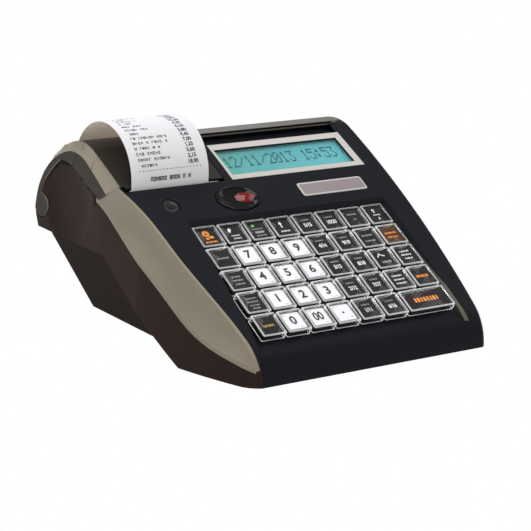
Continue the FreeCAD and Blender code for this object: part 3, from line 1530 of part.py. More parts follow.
def make_paper_roll():
    """Roll of receipt paper with an open core, lying in the bucket."""
    place = (-size.paper_left, size.roll_y, size.roll_z)
    far = (-size.paper_left - size.overrun, size.roll_y, size.roll_z)
    return cut("paper_roll", rod("roll_outer", place, size.roll_radius, size.paper_width),
               rod("roll_core", far, size.core_radius, size.paper_width + size.overrun * 2))


paper_roll = make_paper_roll()


def make_receipt():
    """Paper from below the platen past the tear bar and over in an arch that ends above the lid."""
    half = size.paper_thick / 2
    near = size.platen_radius + size.paper_lap
    wide = size.arch_radius + half
    narrow = size.arch_radius - half
    run = cosine(size.arch_end)
    rise = sine(size.arch_end)
    bottom = size.platen_z - near
    front = size.platen_y - near
    back = size.platen_y + size.web_end
    thick = size.paper_thick
    corners = [
        (back, bottom - thick),
        (size.platen_y, bottom - thick),
        (front - thick, size.platen_z, near + thick),
        (front - thick, size.bend_low),
        (size.arch_y - wide, size.bend_high),
        (size.arch_y - wide, size.arch_z),
        (size.arch_y + wide * run, size.arch_z + wide * rise, wide),
        (size.arch_y + narrow * run, size.arch_z + narrow * rise),
        (size.arch_y - narrow, size.arch_z, -narrow),
        (size.arch_y - narrow, size.bend_high),
        (front, size.bend_low),
        (front, size.platen_z),
        (size.platen_y, bottom, -near),
        (back, bottom),
    ]
    return side_prism("receipt_strip", corners, -size.paper_left, -size.paper_left + size.paper_width)


receipt_strip = make_receipt()
tear_bar = deck_box("tear_bar", (-size.bar_left - FIRST_KEY_X, -size.bar_right - FIRST_KEY_X),
                    (size.slot_start, size.slot_start + size.bar_thick), (as_length(0), size.bar_depth))


# Keys
def make_key(row, column, columns):
    """A hollow clear cap with a chamfered top on one stem for each key pitch it covers."""
    name = f"key_r{row + 1}c{column + 1}"
    body = new_body(name)
    half = size.cap_side / 2
    extra = (columns - 1) * size.pitch
    low = size.cap_top - size.cap_height

    def rectangle(sketch_name, inset, offset):
        return draw(body, "XY_Plane", sketch_name, [
            (-half + inset, -half + inset), (half + extra - inset, -half + inset),
            (half + extra - inset, half - inset), (-half + inset, half - inset)], offset)

    cap = pad(body, rectangle(f"{name}_cap", 0, low), size.cap_height, f"{name}_cap_pad")
    document.recompute()
    top = number(size.cap_top)
    edges = [f"Edge{count}" for count, edge in enumerate(cap.Shape.Edges, start=1)
             if min(vertex.Z for vertex in edge.Vertexes) > top - number(size.running_gap)]
    bevel = body.newObject("PartDesign::Chamfer", f"{name}_bevel")
    bevel.Base = (cap, edges)
    bevel.setExpression("Size", text(size.cap_edge))
    pocket(body, rectangle(f"{name}_hollow", size.cap_wall, low), size.cap_height - size.cap_wall,
           f"{name}_hollow_pocket", reverse=True)
    stem_half = size.stem_side / 2
    for count in range(columns):
        middle = count * size.pitch
        stem = draw(body, "XY_Plane", f"{name}_stem{count}_outline", [
            (middle - stem_half, -stem_half), (middle + stem_half, -stem_half),
            (middle + stem_half, stem_half), (middle - stem_half, stem_half)], STEM_LOW)
        pad(body, stem, size.cap_top - size.cap_wall - STEM_LOW, f"{name}_stem{count}")
    return put(body, on_deck(column * size.pitch, -row * size.pitch), size.deck_slope)


def make_keys():
    """Every key of the field; the last one of the front row covers two pitches."""
    keys = []
    for row in range(KEY_ROWS - 1):
        keys += [make_key(row, column, 1) for column in range(KEY_COLUMNS)]
    front = KEY_ROWS - 1
    keys += [make_key(front, column, 1) for column in range(WIDE_COLUMN)]
    return keys + [make_key(front, WIDE_COLUMN, 2)]


NODES = [
    bottom_case, upper_case, side_panel, case_trim, lid_shell, lid_trim, display_bezel, display_windows,
    lcd_modules, lid_button, circuit_boards, printer_frame, platen_roller, drive_motor, motor_pinion,
    reduction_gear, paper_roll, receipt_strip, tear_bar, rubber_feet, screws_and_pins, *make_keys(),
]
document.recompute()


def export(nodes):
    """Write every node's shape to its own STEP file after checking it."""
    os.makedirs("parts", exist_ok=True)
    for item in document.Objects:
        if "Invalid" in item.State or "Error" in item.State:
            raise RuntimeError(f"{item.Name} did not compute")
    for node in nodes:
        if node.Shape.isNull() or not node.Shape.isValid():
            raise RuntimeError(f"{node.Name} has no valid shape")
        node.Label = node.Name
        node.Shape.exportStep(f"parts/{node.Name}.step")


export(NODES)
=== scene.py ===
"""Looks of a compact cash register with a built-in receipt printer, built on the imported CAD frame."""
import logging
import math
from dataclasses import dataclass
from enum import Enum
from typing import Iterable, Sequence

import bmesh
import bpy
from mathutils import Matrix, Vector


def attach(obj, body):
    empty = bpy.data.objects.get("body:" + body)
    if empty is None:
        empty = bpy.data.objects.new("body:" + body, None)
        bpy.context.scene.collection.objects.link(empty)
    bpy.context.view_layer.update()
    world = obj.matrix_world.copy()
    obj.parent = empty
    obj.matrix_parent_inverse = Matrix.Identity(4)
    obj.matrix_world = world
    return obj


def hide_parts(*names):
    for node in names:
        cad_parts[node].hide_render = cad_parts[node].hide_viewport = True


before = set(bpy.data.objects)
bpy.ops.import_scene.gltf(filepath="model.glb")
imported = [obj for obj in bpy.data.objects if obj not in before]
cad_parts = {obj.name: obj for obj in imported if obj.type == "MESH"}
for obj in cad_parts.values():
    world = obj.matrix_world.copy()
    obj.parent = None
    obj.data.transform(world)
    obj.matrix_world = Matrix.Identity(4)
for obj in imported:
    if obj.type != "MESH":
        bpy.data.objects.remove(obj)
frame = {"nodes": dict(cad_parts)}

logging.basicConfig(level=logging.INFO, format="%(name)s: %(message)s")
log = logging.getLogger("register")

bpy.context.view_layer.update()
MM = 0.001
Point = tuple[float, float, float]
Flat = tuple[float, float]


def linear(code: str) -> tuple[float, float, float, float]:
    """Turn an sRGB hex colour into the linear colour that shaders use.

    Args:
        code: Colour such as "#a59c8c".

    Returns:
        Linear red, green, blue and an alpha of one.
    """
    parts = [int(code[k:k + 2], 16) / 255 for k in (1, 3, 5)]
    return (*[p / 12.92 if p <= 0.04045 else ((p + 0.055) / 1.055) ** 2.4 for p in parts], 1.0)


class Tree:
    """A material's node tree with a short way to add and join nodes."""

    def __init__(self, name: str) -> None:
        """Start an empty material with its output node.

        Args:
            name: Name that it gets.
        """
        self.material = bpy.data.materials.new(name)
        self.material.use_nodes = True
        self.nodes = self.material.node_tree.nodes
        self.links = self.material.node_tree.links
        self.nodes.clear()
        self.output = self.nodes.new("ShaderNodeOutputMaterial")

    def add(self, kind: str, settings: dict | None = None, **inputs: object) -> bpy.types.Node:
        """Add one node.

        Args:
            kind: Type name of the node.
            settings: Properties of the node itself.
            **inputs: Values or sockets for its inputs, with _ for a space in the input's name, or i and
                the input's number.

        Returns:
            The new node.
        """
        node = self.nodes.new(kind)
        for key, value in (settings or {}).items():
            setattr(node, key, value)
        for key, value in inputs.items():
            numbered = key[0] == "i" and key[1:].isdigit()
            socket = node.inputs[int(key[1:]) if numbered else key.replace("_", " ")]
            if isinstance(value, bpy.types.NodeSocket):
                self.links.new(value, socket)
            else:
                socket.default_value = value
        return node

    def finish(self, shader: bpy.types.Node) -> bpy.types.Material:
        """Join the surface shader to the output and return the material."""
        self.links.new(shader.outputs[0], self.output.inputs["Surface"])
        return self.material


class Grain(Enum):
    """Surface texture of a moulding: noise cells per metre and the strength of its bump.

    Real pits are 0.05 to 0.2 mm apart, too fine for the render, so each is drawn as coarse as it shows.
    """

    NONE = (1.0, 0.0)
    # A blasted tool: faint pits about 0.7 mm apart (1 / 1400 m).
    SATIN = (1400.0, 0.05)
    # A fine-etched tool: pits about 0.45 mm apart (1 / 2200 m).
    FINE = (2200.0, 0.16)
    # A spark-eroded tool: pits about 0.75 mm apart (1 / 1300 m), twice as strong.
    COARSE = (1300.0, 0.3)


@dataclass(frozen=True)
class Plastic:
    """A moulded plastic whose colour drifts a little and whose surface has a grain."""

    name: str
    colour: str
    roughness: float = 0.45
    grain: Grain = Grain.FINE
    coat: float = 0.0
    drift: float = 0.06
    specular: float = 0.5
    edge: float = 0.0004
    # Colour clouds about 29 mm across (1 / 35 m), and pits up to 0.2 mm deep.
    CLOUDS = 35.0
    PIT_DEPTH = 0.0002
    ROUGH_SPREAD = 0.08

    def build(self) -> bpy.types.Material:
        """Make the Blender material.

        Returns:
            The material.
        """
        tree = Tree(self.name)
        place = tree.add("ShaderNodeTexCoord").outputs["Object"]
        cloud = tree.add("ShaderNodeTexNoise", Vector=place, Scale=self.CLOUDS, Detail=3.0)
        colour = linear(self.colour)
        low = tuple(part * (1 - self.drift) for part in colour[:3]) + (1.0,)
        high = tuple(min(1.0, part * (1 + self.drift)) for part in colour[:3]) + (1.0,)
        blend = tree.add("ShaderNodeMix", {"data_type": "RGBA"}, Factor=cloud.outputs["Fac"])
        blend.inputs[6].default_value = low
        blend.inputs[7].default_value = high
        rough = tree.add("ShaderNodeMapRange", Value=cloud.outputs["Fac"],
                         To_Min=self.roughness * (1 - self.ROUGH_SPREAD),
                         To_Max=min(1.0, self.roughness * (1 + self.ROUGH_SPREAD)))
        scale, strength = self.grain.value
        body = tree.add("ShaderNodeBsdfPrincipled", Base_Color=blend.outputs[2], Roughness=rough.outputs["Result"],
                        Coat_Weight=self.coat, Coat_Roughness=0.12, Specular_IOR_Level=self.specular)
        if strength:
            edge = tree.add("ShaderNodeBevel", {"samples": 6}, Radius=self.edge)
            pits = tree.add("ShaderNodeTexNoise", Vector=place, Scale=scale, Detail=2.0)
            bump = tree.add("ShaderNodeBump", Height=pits.outputs["Fac"], Strength=strength,
                            Distance=self.PIT_DEPTH, Normal=edge.outputs["Normal"])
            tree.links.new(bump.outputs["Normal"], body.inputs["Normal"])
        return tree.finish(body)


@dataclass(frozen=True)
class Metal:
    """A metal with a brushed or turned grain."""

    name: str
    colour: str
    roughness: float = 0.3
    stretch: Point = (1.0, 60.0, 60.0)
    # Lines about 0.28 mm apart (1 / 3600 m) where the stretch is 60, coarser than real ones, so that they show.
    LINES = 60.0

    def build(self) -> bpy.types.Material:
        """Make the Blender material.

        Returns:
            The material.
        """
        tree = Tree(self.name)
        place = tree.add("ShaderNodeTexCoord").outputs["Object"]
        lines = tree.add("ShaderNodeMapping", Vector=place)
        lines.inputs["Scale"].default_value = self.stretch
        grain = tree.add("ShaderNodeTexNoise", Vector=lines.outputs["Vector"], Scale=self.LINES,
                         Detail=4.0)
        rough = tree.add("ShaderNodeMapRange", Value=grain.outputs["Fac"],
                         To_Min=self.roughness * 0.7, To_Max=min(1.0, self.roughness * 1.35))
        return tree.finish(tree.add("ShaderNodeBsdfPrincipled", Base_Color=linear(self.colour), Metallic=1.0,
                                    Roughness=rough.outputs["Result"]))


@dataclass(frozen=True)
class Clear:
    """A clear plastic, seen through."""

    name: str
    colour: str = "#ffffff"
    roughness: float = 0.02
    index: float = 1.49
    haze: float = 0.0
    specular: float = 0.5
    shade: str = "#e8e8e8"

    def build(self) -> bpy.types.Material:
        """Make the Blender material: thin clear plastic lets light straight through for shadows.

        Returns:
            The material.
        """
        tree = Tree(self.name)
        body = tree.add("ShaderNodeBsdfPrincipled", Base_Color=linear(self.colour), Roughness=self.roughness,
                        IOR=self.index, Transmission_Weight=1.0 - self.haze, Specular_IOR_Level=self.specular)
        rays = tree.add("ShaderNodeLightPath")
        through = tree.add("ShaderNodeBsdfTransparent", Color=linear(self.shade))
        return tree.finish(tree.add("ShaderNodeMixShader", i0=rays.outputs["Is Shadow Ray"],
                                    i1=body.outputs[0], i2=through.outputs[0]))


@dataclass(frozen=True)
class Glow:
    """A lit or printed surface whose colour runs from one side to the other."""

    name: str
    start: str
    end: str
    strength: float
    axis: int = 1
    reach: Flat = (0.0, 1.0)
    roughness: float = 0.35

    def build(self) -> bpy.types.Material:
        """Make the Blender material with its colour run along one object axis.

        Returns:
            The material.
        """
        tree = Tree(self.name)
        place = tree.add("ShaderNodeTexCoord").outputs["Object"]
        split = tree.add("ShaderNodeSeparateXYZ", Vector=place)
        along = tree.add("ShaderNodeMapRange", Value=split.outputs[self.axis],
                         From_Min=self.reach[0], From_Max=self.reach[1])
        blend = tree.add("ShaderNodeMix", {"data_type": "RGBA"}, Factor=along.outputs["Result"])
        blend.inputs[6].default_value = linear(self.start)
        blend.inputs[7].default_value = linear(self.end)
        body = tree.add("ShaderNodeBsdfPrincipled", Base_Color=blend.outputs[2], Roughness=self.roughness,
                        Emission_Color=blend.outputs[2], Emission_Strength=self.strength)
        return tree.finish(body)


@dataclass(frozen=True)
class Paper:
    """Thermal paper: faintly fibrous, letting some light through."""

    name: str
    colour: str = "#f0f5ff"
    glow: str = "#fff1dc"
    through: float = 0.33
    # Fibre clumps about 1.1 mm across (1 / 900 m), coarser than real ones, so that they show.
    FIBRES = 900.0

    def build(self) -> bpy.types.Material:
        """Make the Blender material.

        Returns:
            The material.
        """
        tree = Tree(self.name)
        place = tree.add("ShaderNodeTexCoord").outputs["Object"]
        fibre = tree.add("ShaderNodeTexNoise", Vector=place, Scale=self.FIBRES, Detail=4.0)
        bump = tree.add("ShaderNodeBump", Height=fibre.outputs["Fac"], Strength=0.06, Distance=0.0001)
        sheen = tree.add("ShaderNodeBsdfPrincipled", Base_Color=linear(self.colour), Roughness=0.6,
                         Normal=bump.outputs["Normal"], Specular_IOR_Level=0.25)
        light = tree.add("ShaderNodeBsdfTranslucent", Color=linear(self.glow))
        return tree.finish(tree.add("ShaderNodeMixShader", i0=self.through, i1=sheen.outputs[0],
                                    i2=light.outputs[0]))


class Finishes:
    """Every material of the register, made once and found by name."""

    RECIPES = (
        # Moulded ABS from a fine-etched tool: near black, with a dull sheen and no mirror.
        Plastic("textured_black_abs", "#15181d", 0.45, specular=0.07),
        # Moulded ABS from a spark-eroded tool: the coarsest grain, so the base stays flat and dull.
        Plastic("eroded_brown_abs", "#261d19", 0.6, Grain.COARSE, specular=0.03),
        # Moulded ABS, fine-etched: a plum-brown that glows only softly on its dish.
        Plastic("textured_brown_abs", "#2a1d19", 0.5, specular=0.1),
        # Moulded ABS from a blasted tool: smoother than the case, with a soft light streak.
        Plastic("satin_black_abs", "#282521", 0.3, Grain.SATIN, specular=0.22),
        # Body-coloured ABS from a blasted tool: the warm pale bow that shades smoothly.
        Plastic("satin_taupe_abs", "#857d6c", 0.4, Grain.SATIN),
        # The same satin moulding in a darker tone on the strip behind the display.
        Plastic("satin_darker_taupe_abs", "#57524a", 0.42, Grain.SATIN),
        # The same satin moulding in dark olive: a muted line beside the keys.
        Plastic("satin_olive_abs", "#4f4b41", 0.42, Grain.SATIN),
        # Satin taupe ABS made paler as painted light: the lid's rim catches the light first.
        Plastic("painted_light_taupe_abs", "#9a9181", 0.4, Grain.SATIN),
        # Satin taupe ABS darkened to umber as painted shade: the rim's side falls into shade.
        Plastic("painted_shade_taupe_abs", "#2f2925", 0.45, Grain.SATIN, specular=0.2),
        # ABS with a sprayed silver lacquer: an even pale frame with a faint sheen.
        Plastic("painted_silver_abs", "#bdbab8", 0.35, Grain.SATIN, drift=0.03),
        # Matt moulded ABS, near black as painted shade in the display's window: the recess swallows light, so the
        # keys stand out.
        Plastic("painted_shade_matt_abs", "#0b0e11", 0.6, Grain.SATIN),
        # Glass laminate under solder mask: green with a thin glossy coat.
        Plastic("masked_green_laminate", "#1f5a35", 0.3, Grain.NONE, coat=0.4),
        # Glass-filled nylon: dull dark grey with a fine grain.
        Plastic("moulded_grey_nylon", "#2c2d30", 0.5),
        # Natural acetal: milky white, a little waxy.
        Plastic("moulded_white_acetal", "#d9d5c9", 0.4, Grain.SATIN),
        # Moulded rubber: coarse, black and without gloss.
        Plastic("moulded_black_rubber", "#171717", 0.85, Grain.COARSE, specular=0.2),
        # Ground rubber: even, dull and a little lighter than the feet.
        Plastic("ground_black_rubber", "#262628", 0.7, Grain.SATIN, specular=0.3),
        # ABS from a polished tool: dark key bodies with a little gloss.
        Plastic("polished_black_abs", "#1b191a", 0.35, Grain.NONE, specular=0.2),
        # Printed black film under the cap: flat and deep.
        Plastic("printed_black_film", "#161416", 0.4, Grain.NONE, specular=0.1),
        # Printed rust-brown film: warm and dark under the cap.
        Plastic("printed_rust_film", "#4a2a14", 0.4, Grain.NONE, specular=0.1),
        # High-gloss lacquer on ABS: mirrors the lamps in a thin line along its edge.
        Plastic("lacquered_black_abs", "#0c0b0b", 0.12, Grain.NONE, specular=0.25),
        # Cut white card: the brightest thing under the caps.
        Plastic("cut_white_card", "#d6d9e0", 0.45, Grain.NONE, drift=0.02),
        # Cut grey card: a soft frame round the white one.
        Plastic("cut_grey_card", "#8e9197", 0.45, Grain.NONE, drift=0.02),
        # Screen-printed ink: flat black signs.
        Plastic("screened_black_ink", "#101114", 0.5, Grain.NONE, drift=0.0),
        # Screen-printed ink: bright signs on black film.
        Plastic("screened_white_ink", "#d5d8dd", 0.5, Grain.NONE, drift=0.0),
        # Screen-printed ink: quieter small signs.
        Plastic("screened_grey_ink", "#8f9296", 0.5, Grain.NONE, drift=0.0),
        # Screen-printed ink: dull gold signs.
        Plastic("screened_gold_ink", "#a8893c", 0.5, Grain.NONE, drift=0.0),
        # Screen-printed ink: the strongest colour of the keyboard.
        Plastic("screened_orange_ink", "#d5841c", 0.5, Grain.NONE, drift=0.0),
        # Screen-printed ink: rust signs that hardly leave their film.
        Plastic("screened_rust_ink", "#8a4218", 0.5, Grain.NONE, drift=0.0),
        # Screen-printed ink: one green spot.
        Plastic("screened_green_ink", "#6fae3c", 0.5, Grain.NONE, drift=0.0),
        # Heat-blackened paper coat: soft dark grey, never full black.
        Plastic("thermal_grey_print", "#2a2c33", 0.6, Grain.NONE, drift=0.0, specular=0.2),
        # Anodised plate seen as a flat grey field with a faint sheen.
        Plastic("anodised_grey_aluminium", "#887f82", 0.35, Grain.SATIN, drift=0.03),
        # Its cut bevel: one pale line round the plate.
        Plastic("bevelled_pale_aluminium", "#bdb9bb", 0.3, Grain.SATIN, drift=0.03),
        # Moulded nylon in a hollow: dark with a little gloss.
        Plastic("moulded_black_nylon", "#101111", 0.3, Grain.NONE, specular=0.3),
        # Moulded nylon of the sockets: plain black.
        Plastic("moulded_socket_nylon", "#121212", 0.4, Grain.NONE),
        # Ground steel: bright, with lines along the bar.
        Metal("ground_steel_strip", "#c9c9c6", 0.25),
        # Drawn steel: grey metal with long soft lines.
        Metal("drawn_steel_can", "#b3b4b2", 0.35),
        # Turned and zinc-plated steel: rings of light on the heads.
        Metal("turned_zinc_steel", "#a9a9a5", 0.3, (20.0, 20.0, 1.0)),
        # Cut brass: yellow metal between the dark gears.
        Metal("hobbed_brass", "#c8a052", 0.25),
        # Polished clear acrylic: the insert shows through and only the edges shine.
        Clear("moulded_clear_acrylic", index=1.25, specular=0.3),
        # Cut acrylic sheet: a faint cyan window that hardly mirrors.
        Clear("clear_acrylic_sheet", "#dff1f1", specular=0.25),
        # The cap's edge, half frosted and whitish as painted highlight: a pale line round every key.
        Clear("painted_highlight_acrylic_edge", "#f8faff", 0.1, 1.45, 0.5),
        # Polished red acrylic: deep red with sharp lights on its facets.
        Clear("moulded_red_acrylic", "#c4101a", 0.03, 1.5, 0.3),
        # Backlit display glass: teal that glows a little, brighter to the right.
        Glow("backlit_lcd_glass", "#5a9f9c", "#64b4c0", 0.12, 0, (-0.02, 0.09)),
        # Switched cells: dark teal dots in the glow.
        Plastic("switched_lcd_cell", "#1d4f60", 0.5, Grain.NONE, drift=0.0, specular=0.2),
        # The glass module itself: dull green under a glossy face.
        Plastic("unlit_lcd_glass", "#3f6a5c", 0.3, Grain.NONE, coat=0.3),
        # Coated paper: white outside, with warm light coming through from below.
        Paper("coated_thermal_paper"),
    )

    def __init__(self) -> None:
        """Make every material of the recipes."""
        self._made = {recipe.name: recipe.build() for recipe in self.RECIPES}
        log.info("made %d materials", len(self._made))

    def __getitem__(self, name: str) -> bpy.types.Material:
        """The material of that name."""
        return self._made[name]


@dataclass(frozen=True)
class Plane:
    """A sloping plane of the case with its own across, up and out directions, in millimetres."""

    origin: Point
    slope: float
    heading: float = 0.0

    def matrix(self) -> Matrix:
        """Transformation from the plane's millimetres to the frame's metres.

        Returns:
            Matrix from the plane to the frame.
        """
        heading = Matrix.Rotation(math.radians(self.heading), 4, "Z")
        slope = Matrix.Rotation(math.radians(self.slope), 4, "X")
        return Matrix.Translation(Vector(self.origin) * MM) @ heading @ slope @ Matrix.Scale(MM, 4)


DECK = Plane((-59.0, -25.0, 73.5), 30.0)
DISPLAY = Plane((-19.0, 8.2, 97.95), 26.5)
CUSTOMER = Plane((73.0, 96.95, 86.07), 52.0, 180.0)


class Piece:
    """A mesh under construction that becomes one Blender object."""

    def __init__(self, name: str) -> None:
        """Start an empty mesh.

        Args:
            name: Name that it gets.
        """
        self.name = name
        self.mesh = bmesh.new()
        self.slots: list[bpy.types.Material] = []

    def slot(self, material: bpy.types.Material) -> int:
        """Number of a material's slot, added when it is new.

        Args:
            material: Its finish.

        Returns:
            Number of the slot.
        """
        if material not in self.slots:
            self.slots.append(material)
        return self.slots.index(material)

    def paint(self, faces: Iterable[bmesh.types.BMFace], material: bpy.types.Material) -> None:
        """Give some faces a material.

        Args:
            faces: Faces to paint.
            material: Its finish.
        """
        number = self.slot(material)
        for face in faces:
            face.material_index = number

    def block(self, low: Point, high: Point, material: bpy.types.Material, edge: float = 0.0,
              segments: int = 2) -> list[bmesh.types.BMFace]:
        """Add a box with rounded edges.

        Args:
            low: Lowest corner.
            high: Highest corner.
            material: Its finish.
            edge: Width of its rounded edges.
            segments: Faces across each rounded edge.

        Returns:
            The faces of the box.
        """
        middle = (Vector(low) + Vector(high)) / 2
        sides = Vector(high) - Vector(low)
        made = bmesh.ops.create_cube(self.mesh, size=1.0,
                                     matrix=Matrix.Translation(middle) @ Matrix.Diagonal((*sides, 1.0)))
        faces = list({face for vertex in made["verts"] for face in vertex.link_faces})
        if edge:
            edges = list({line for face in faces for line in face.edges})
            rounded = bmesh.ops.bevel(self.mesh, geom=edges, offset=edge, segments=segments, profile=0.5,
                                      affect="EDGES", material=-1)
            faces = list(set(face for face in faces if face.is_valid) | set(rounded["faces"]))
        self.paint(faces, material)
        return faces

    def prism(self, outline: Sequence[Flat], low: float, high: float, material: bpy.types.Material,
              edge: float = 0.0, segments: int = 2) -> list[bmesh.types.BMFace]:
        """Add an upright prism of an outline, with its upper rim rounded.

        Args:
            outline: Corners of the outline in order.
            low: Level of its lower end.
            high: Level of its upper end.
            material: Its finish.
            edge: Width of the rounded upper rim.
            segments: Faces across the rounded rim.

        Returns:
            The new faces.
        """
        ring = self.ring(outline, low)
        base = self.mesh.faces.new(reversed(ring))
        walls = bmesh.ops.extrude_face_region(self.mesh, geom=[base])
        lifted = [item for item in walls["geom"] if isinstance(item, bmesh.types.BMVert)]
        bmesh.ops.translate(self.mesh, verts=lifted, vec=(0, 0, high - low))
        faces = {face for vertex in ring + lifted for face in vertex.link_faces}
        bmesh.ops.recalc_face_normals(self.mesh, faces=list(faces))
        if edge:
            top = [line for face in faces for line in face.edges
                   if all(abs(vertex.co.z - high) < 1e-6 for vertex in line.verts)]
            rounded = bmesh.ops.bevel(self.mesh, geom=list(set(top)), offset=edge, segments=segments, profile=0.5,
                                      affect="EDGES", material=-1)
            faces = set(face for face in faces if face.is_valid) | set(rounded["faces"])
        self.paint(faces, material)
        return list(faces)

    def ring(self, outline: Sequence[Flat], level: float) -> list[bmesh.types.BMVert]:
        """Add the corners of an outline at one level."""
        return [self.mesh.verts.new((x, y, level)) for x, y in outline]

    def skin(self, first: Sequence[bmesh.types.BMVert], second: Sequence[bmesh.types.BMVert],
             material: bpy.types.Material) -> None:
        """Join two closed rings that have as many corners.

        Args:
            first: Corners of the first ring.
            second: Corners of the second ring.
            material: Finish of the new faces.
        """
        count = len(first)
        self.paint([self.mesh.faces.new((first[k], first[(k + 1) % count], second[(k + 1) % count], second[k]))
                    for k in range(count)], material)

    def stack(self, outline: Sequence[Flat], middle: Flat, profile: Sequence[Flat],
              material: bpy.types.Material) -> None:
        """Add a closed body of rings that are one outline at several sizes and levels.

        Args:
            outline: Outline at full size about the origin.
            middle: Its middle.
            profile: Rings as (share of the size, level).
            material: Its finish.
        """
        rings = [self.ring([(middle[0] + x * share, middle[1] + y * share) for x, y in outline], level)
                 for share, level in profile]
        for first, second in zip(rings, rings[1:]):
            self.skin(first, second, material)
        self.paint([self.mesh.faces.new(rings[-1]), self.mesh.faces.new(list(reversed(rings[0])))], material)

    def flat(self, outline: Sequence[Flat], level: float, material: bpy.types.Material) -> None:
        """Add one upward flat face.

        Args:
            outline: Corners of the outline in order.
            level: Level that it lies at.
            material: Its finish.
        """
        face = self.mesh.faces.new(self.ring(outline, level))
        face.normal_update()
        if face.normal.z < 0:
            face.normal_flip()
        self.paint([face], material)

    def words(self, text: str, middle: Flat, height: float, level: float, material: bpy.types.Material,
              stretch: float = 1.0, heavy: float = 0.0) -> None:
        """Add flat figures.

        Args:
            text: Figures and signs to set.
            middle: Middle of the line.
            height: Height of a figure.
            level: Level of the face.
            material: Ink.
            stretch: Width against the font's own.
            heavy: How much the strokes are thickened, as a share of the height.
        """
        curve = bpy.data.curves.new("figures", "FONT")
        curve.body = text
        curve.align_x, curve.align_y = "CENTER", "CENTER"
        curve.size = height * 1.38
        curve.offset = heavy * height
        curve.resolution_u = 3
        holder = bpy.data.objects.new("figures", curve)
        made = bpy.data.meshes.new_from_object(holder)
        made.transform(Matrix.Translation((middle[0], middle[1], level)) @ Matrix.Diagonal((stretch, 1, 1, 1)))
        before = len(self.mesh.faces)
        self.mesh.from_mesh(made)
        self.mesh.faces.ensure_lookup_table()
        self.paint(self.mesh.faces[before:], material)
        bpy.data.objects.remove(holder)
        bpy.data.curves.remove(curve)
        bpy.data.meshes.remove(made)

    def place(self, matrix: Matrix) -> "Piece":
        """Move everything made so far."""
        bmesh.ops.transform(self.mesh, matrix=matrix, verts=self.mesh.verts[:])
        return self

    def build(self, body: str, *nodes: str, smooth: float = 35.0) -> bpy.types.Object:
        """Turn the piece into an object that rides on a body.

        Args:
            body: CAD body that carries it.
            *nodes: CAD nodes that it stands for.
            smooth: Angle in degrees under which faces are shaded as one surface.

        Returns:
            The finished object.
        """
        data = bpy.data.meshes.new(self.name)
        self.mesh.to_mesh(data)
        self.mesh.free()
        for material in self.slots:
            data.materials.append(material)
        data.shade_smooth()
        data.set_sharp_from_angle(angle=math.radians(smooth))
        item = bpy.data.objects.new(self.name, data)
        bpy.context.scene.collection.objects.link(item)
        if nodes:
            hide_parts(*nodes)
        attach(item, body)
        log.info("%s: %d faces on %s", self.name, len(data.polygons), body)
        return item


def rounded(width: float, length: float, radius: float, middle: Flat = (0.0, 0.0), steps: int = 6) -> list[Flat]:
    """Outline of a rectangle with rounded corners, anticlockwise.

    Args:
        width: Its whole width.
        length: Its whole length.
        radius: Radius of its corners.
        middle: Its middle.
        steps: Steps round each corner.

    Returns:
        Corners of the outline.
    """
    points = []
    for turn, (sx, sy) in enumerate(((1, 1), (-1, 1), (-1, -1), (1, -1))):
        for step in range(steps + 1):
            angle = math.pi / 2 * (turn + step / steps)
            points.append((middle[0] + sx * (width / 2 - radius) + radius * math.cos(angle),
                           middle[1] + sy * (length / 2 - radius) + radius * math.sin(angle)))
    return points


def ellipse(width: float, length: float, middle: Flat = (0.0, 0.0), steps: int = 64) -> list[Flat]:
    """Outline of an ellipse, anticlockwise."""
    return [(middle[0] + width / 2 * math.cos(math.tau * k / steps),
             middle[1] + length / 2 * math.sin(math.tau * k / steps)) for k in range(steps)]


class Ink(Enum):
    """Inks of the key labels and the finish each is drawn with."""

    BLACK = "screened_black_ink"
    WHITE = "screened_white_ink"
    DIM = "screened_grey_ink"
    ORANGE = "screened_orange_ink"
    GOLD = "screened_gold_ink"
    GREEN = "screened_green_ink"
    RUST = "screened_rust_ink"


@dataclass(frozen=True)
class Mark:
    """One mark of a label, in millimetres from the middle of the key.

    A mark with text is set in figures of its height; a mark with blocks stands for a word of that many
    small blocks; a mark with an outline is that outline; any other is a plain bar.
    """

    x: float
    y: float
    width: float
    height: float
    ink: Ink
    text: str = ""
    blocks: int = 0
    outline: tuple[Flat, ...] = ()

    def draw(self, piece: Piece, finishes: "Finishes", middle: float, level: float) -> None:
        """Add the mark's faces to a piece at one level, about the middle of its label.

        Args:
            piece: Piece that is added to.
            finishes: Materials of the register.
            middle: Place of the label's middle.
            level: Level that it lies at.
        """
        ink = finishes[self.ink.value]
        left = self.x + middle
        if self.text:
            piece.words(self.text, (left, self.y), self.height, level, ink, self.width, 0.045)
        elif self.blocks:
            share = self.width / self.blocks
            for count in range(self.blocks):
                wide = share * (0.62 + 0.2 * math.sin(count * 2.4 + self.x + self.y))
                place = left - self.width / 2 + share * (count + 0.5)
                outline = rounded(wide, self.height, min(wide, self.height) * 0.2, (place, self.y), 1)
                piece.flat(outline, level, ink)
        elif self.outline:
            piece.flat([(left + self.width * x, self.y + self.height * y) for x, y in self.outline], level, ink)
        else:
            piece.flat(rounded(self.width, self.height, min(self.width, self.height) * 0.3, (left, self.y), 2),
                       level, ink)


RING_STEPS = 20
DISC = tuple((0.5 * math.cos(math.tau * k / RING_STEPS), 0.5 * math.sin(math.tau * k / RING_STEPS))
             for k in range(RING_STEPS))
UP_ARROW = ((-0.18, -0.5), (0.18, -0.5), (0.18, 0.05), (0.5, 0.05), (0.0, 0.5), (-0.5, 0.05), (-0.18, 0.05))
FLAG = ((-0.5, -0.1), (-0.1, -0.5), (0.1, -0.1), (0.5, 0.1), (0.3, 0.5), (-0.3, 0.45))
PEAK = ((-0.5, -0.3), (-0.1, 0.5), (0.15, 0.1), (0.5, -0.1), (0.42, -0.3), (0.1, -0.08), (-0.12, 0.22),
        (-0.36, -0.3))


@dataclass(frozen=True)
class Label:
    """The printed insert under one clear cap: its ground and its marks."""

    ground: str
    marks: tuple[Mark, ...]


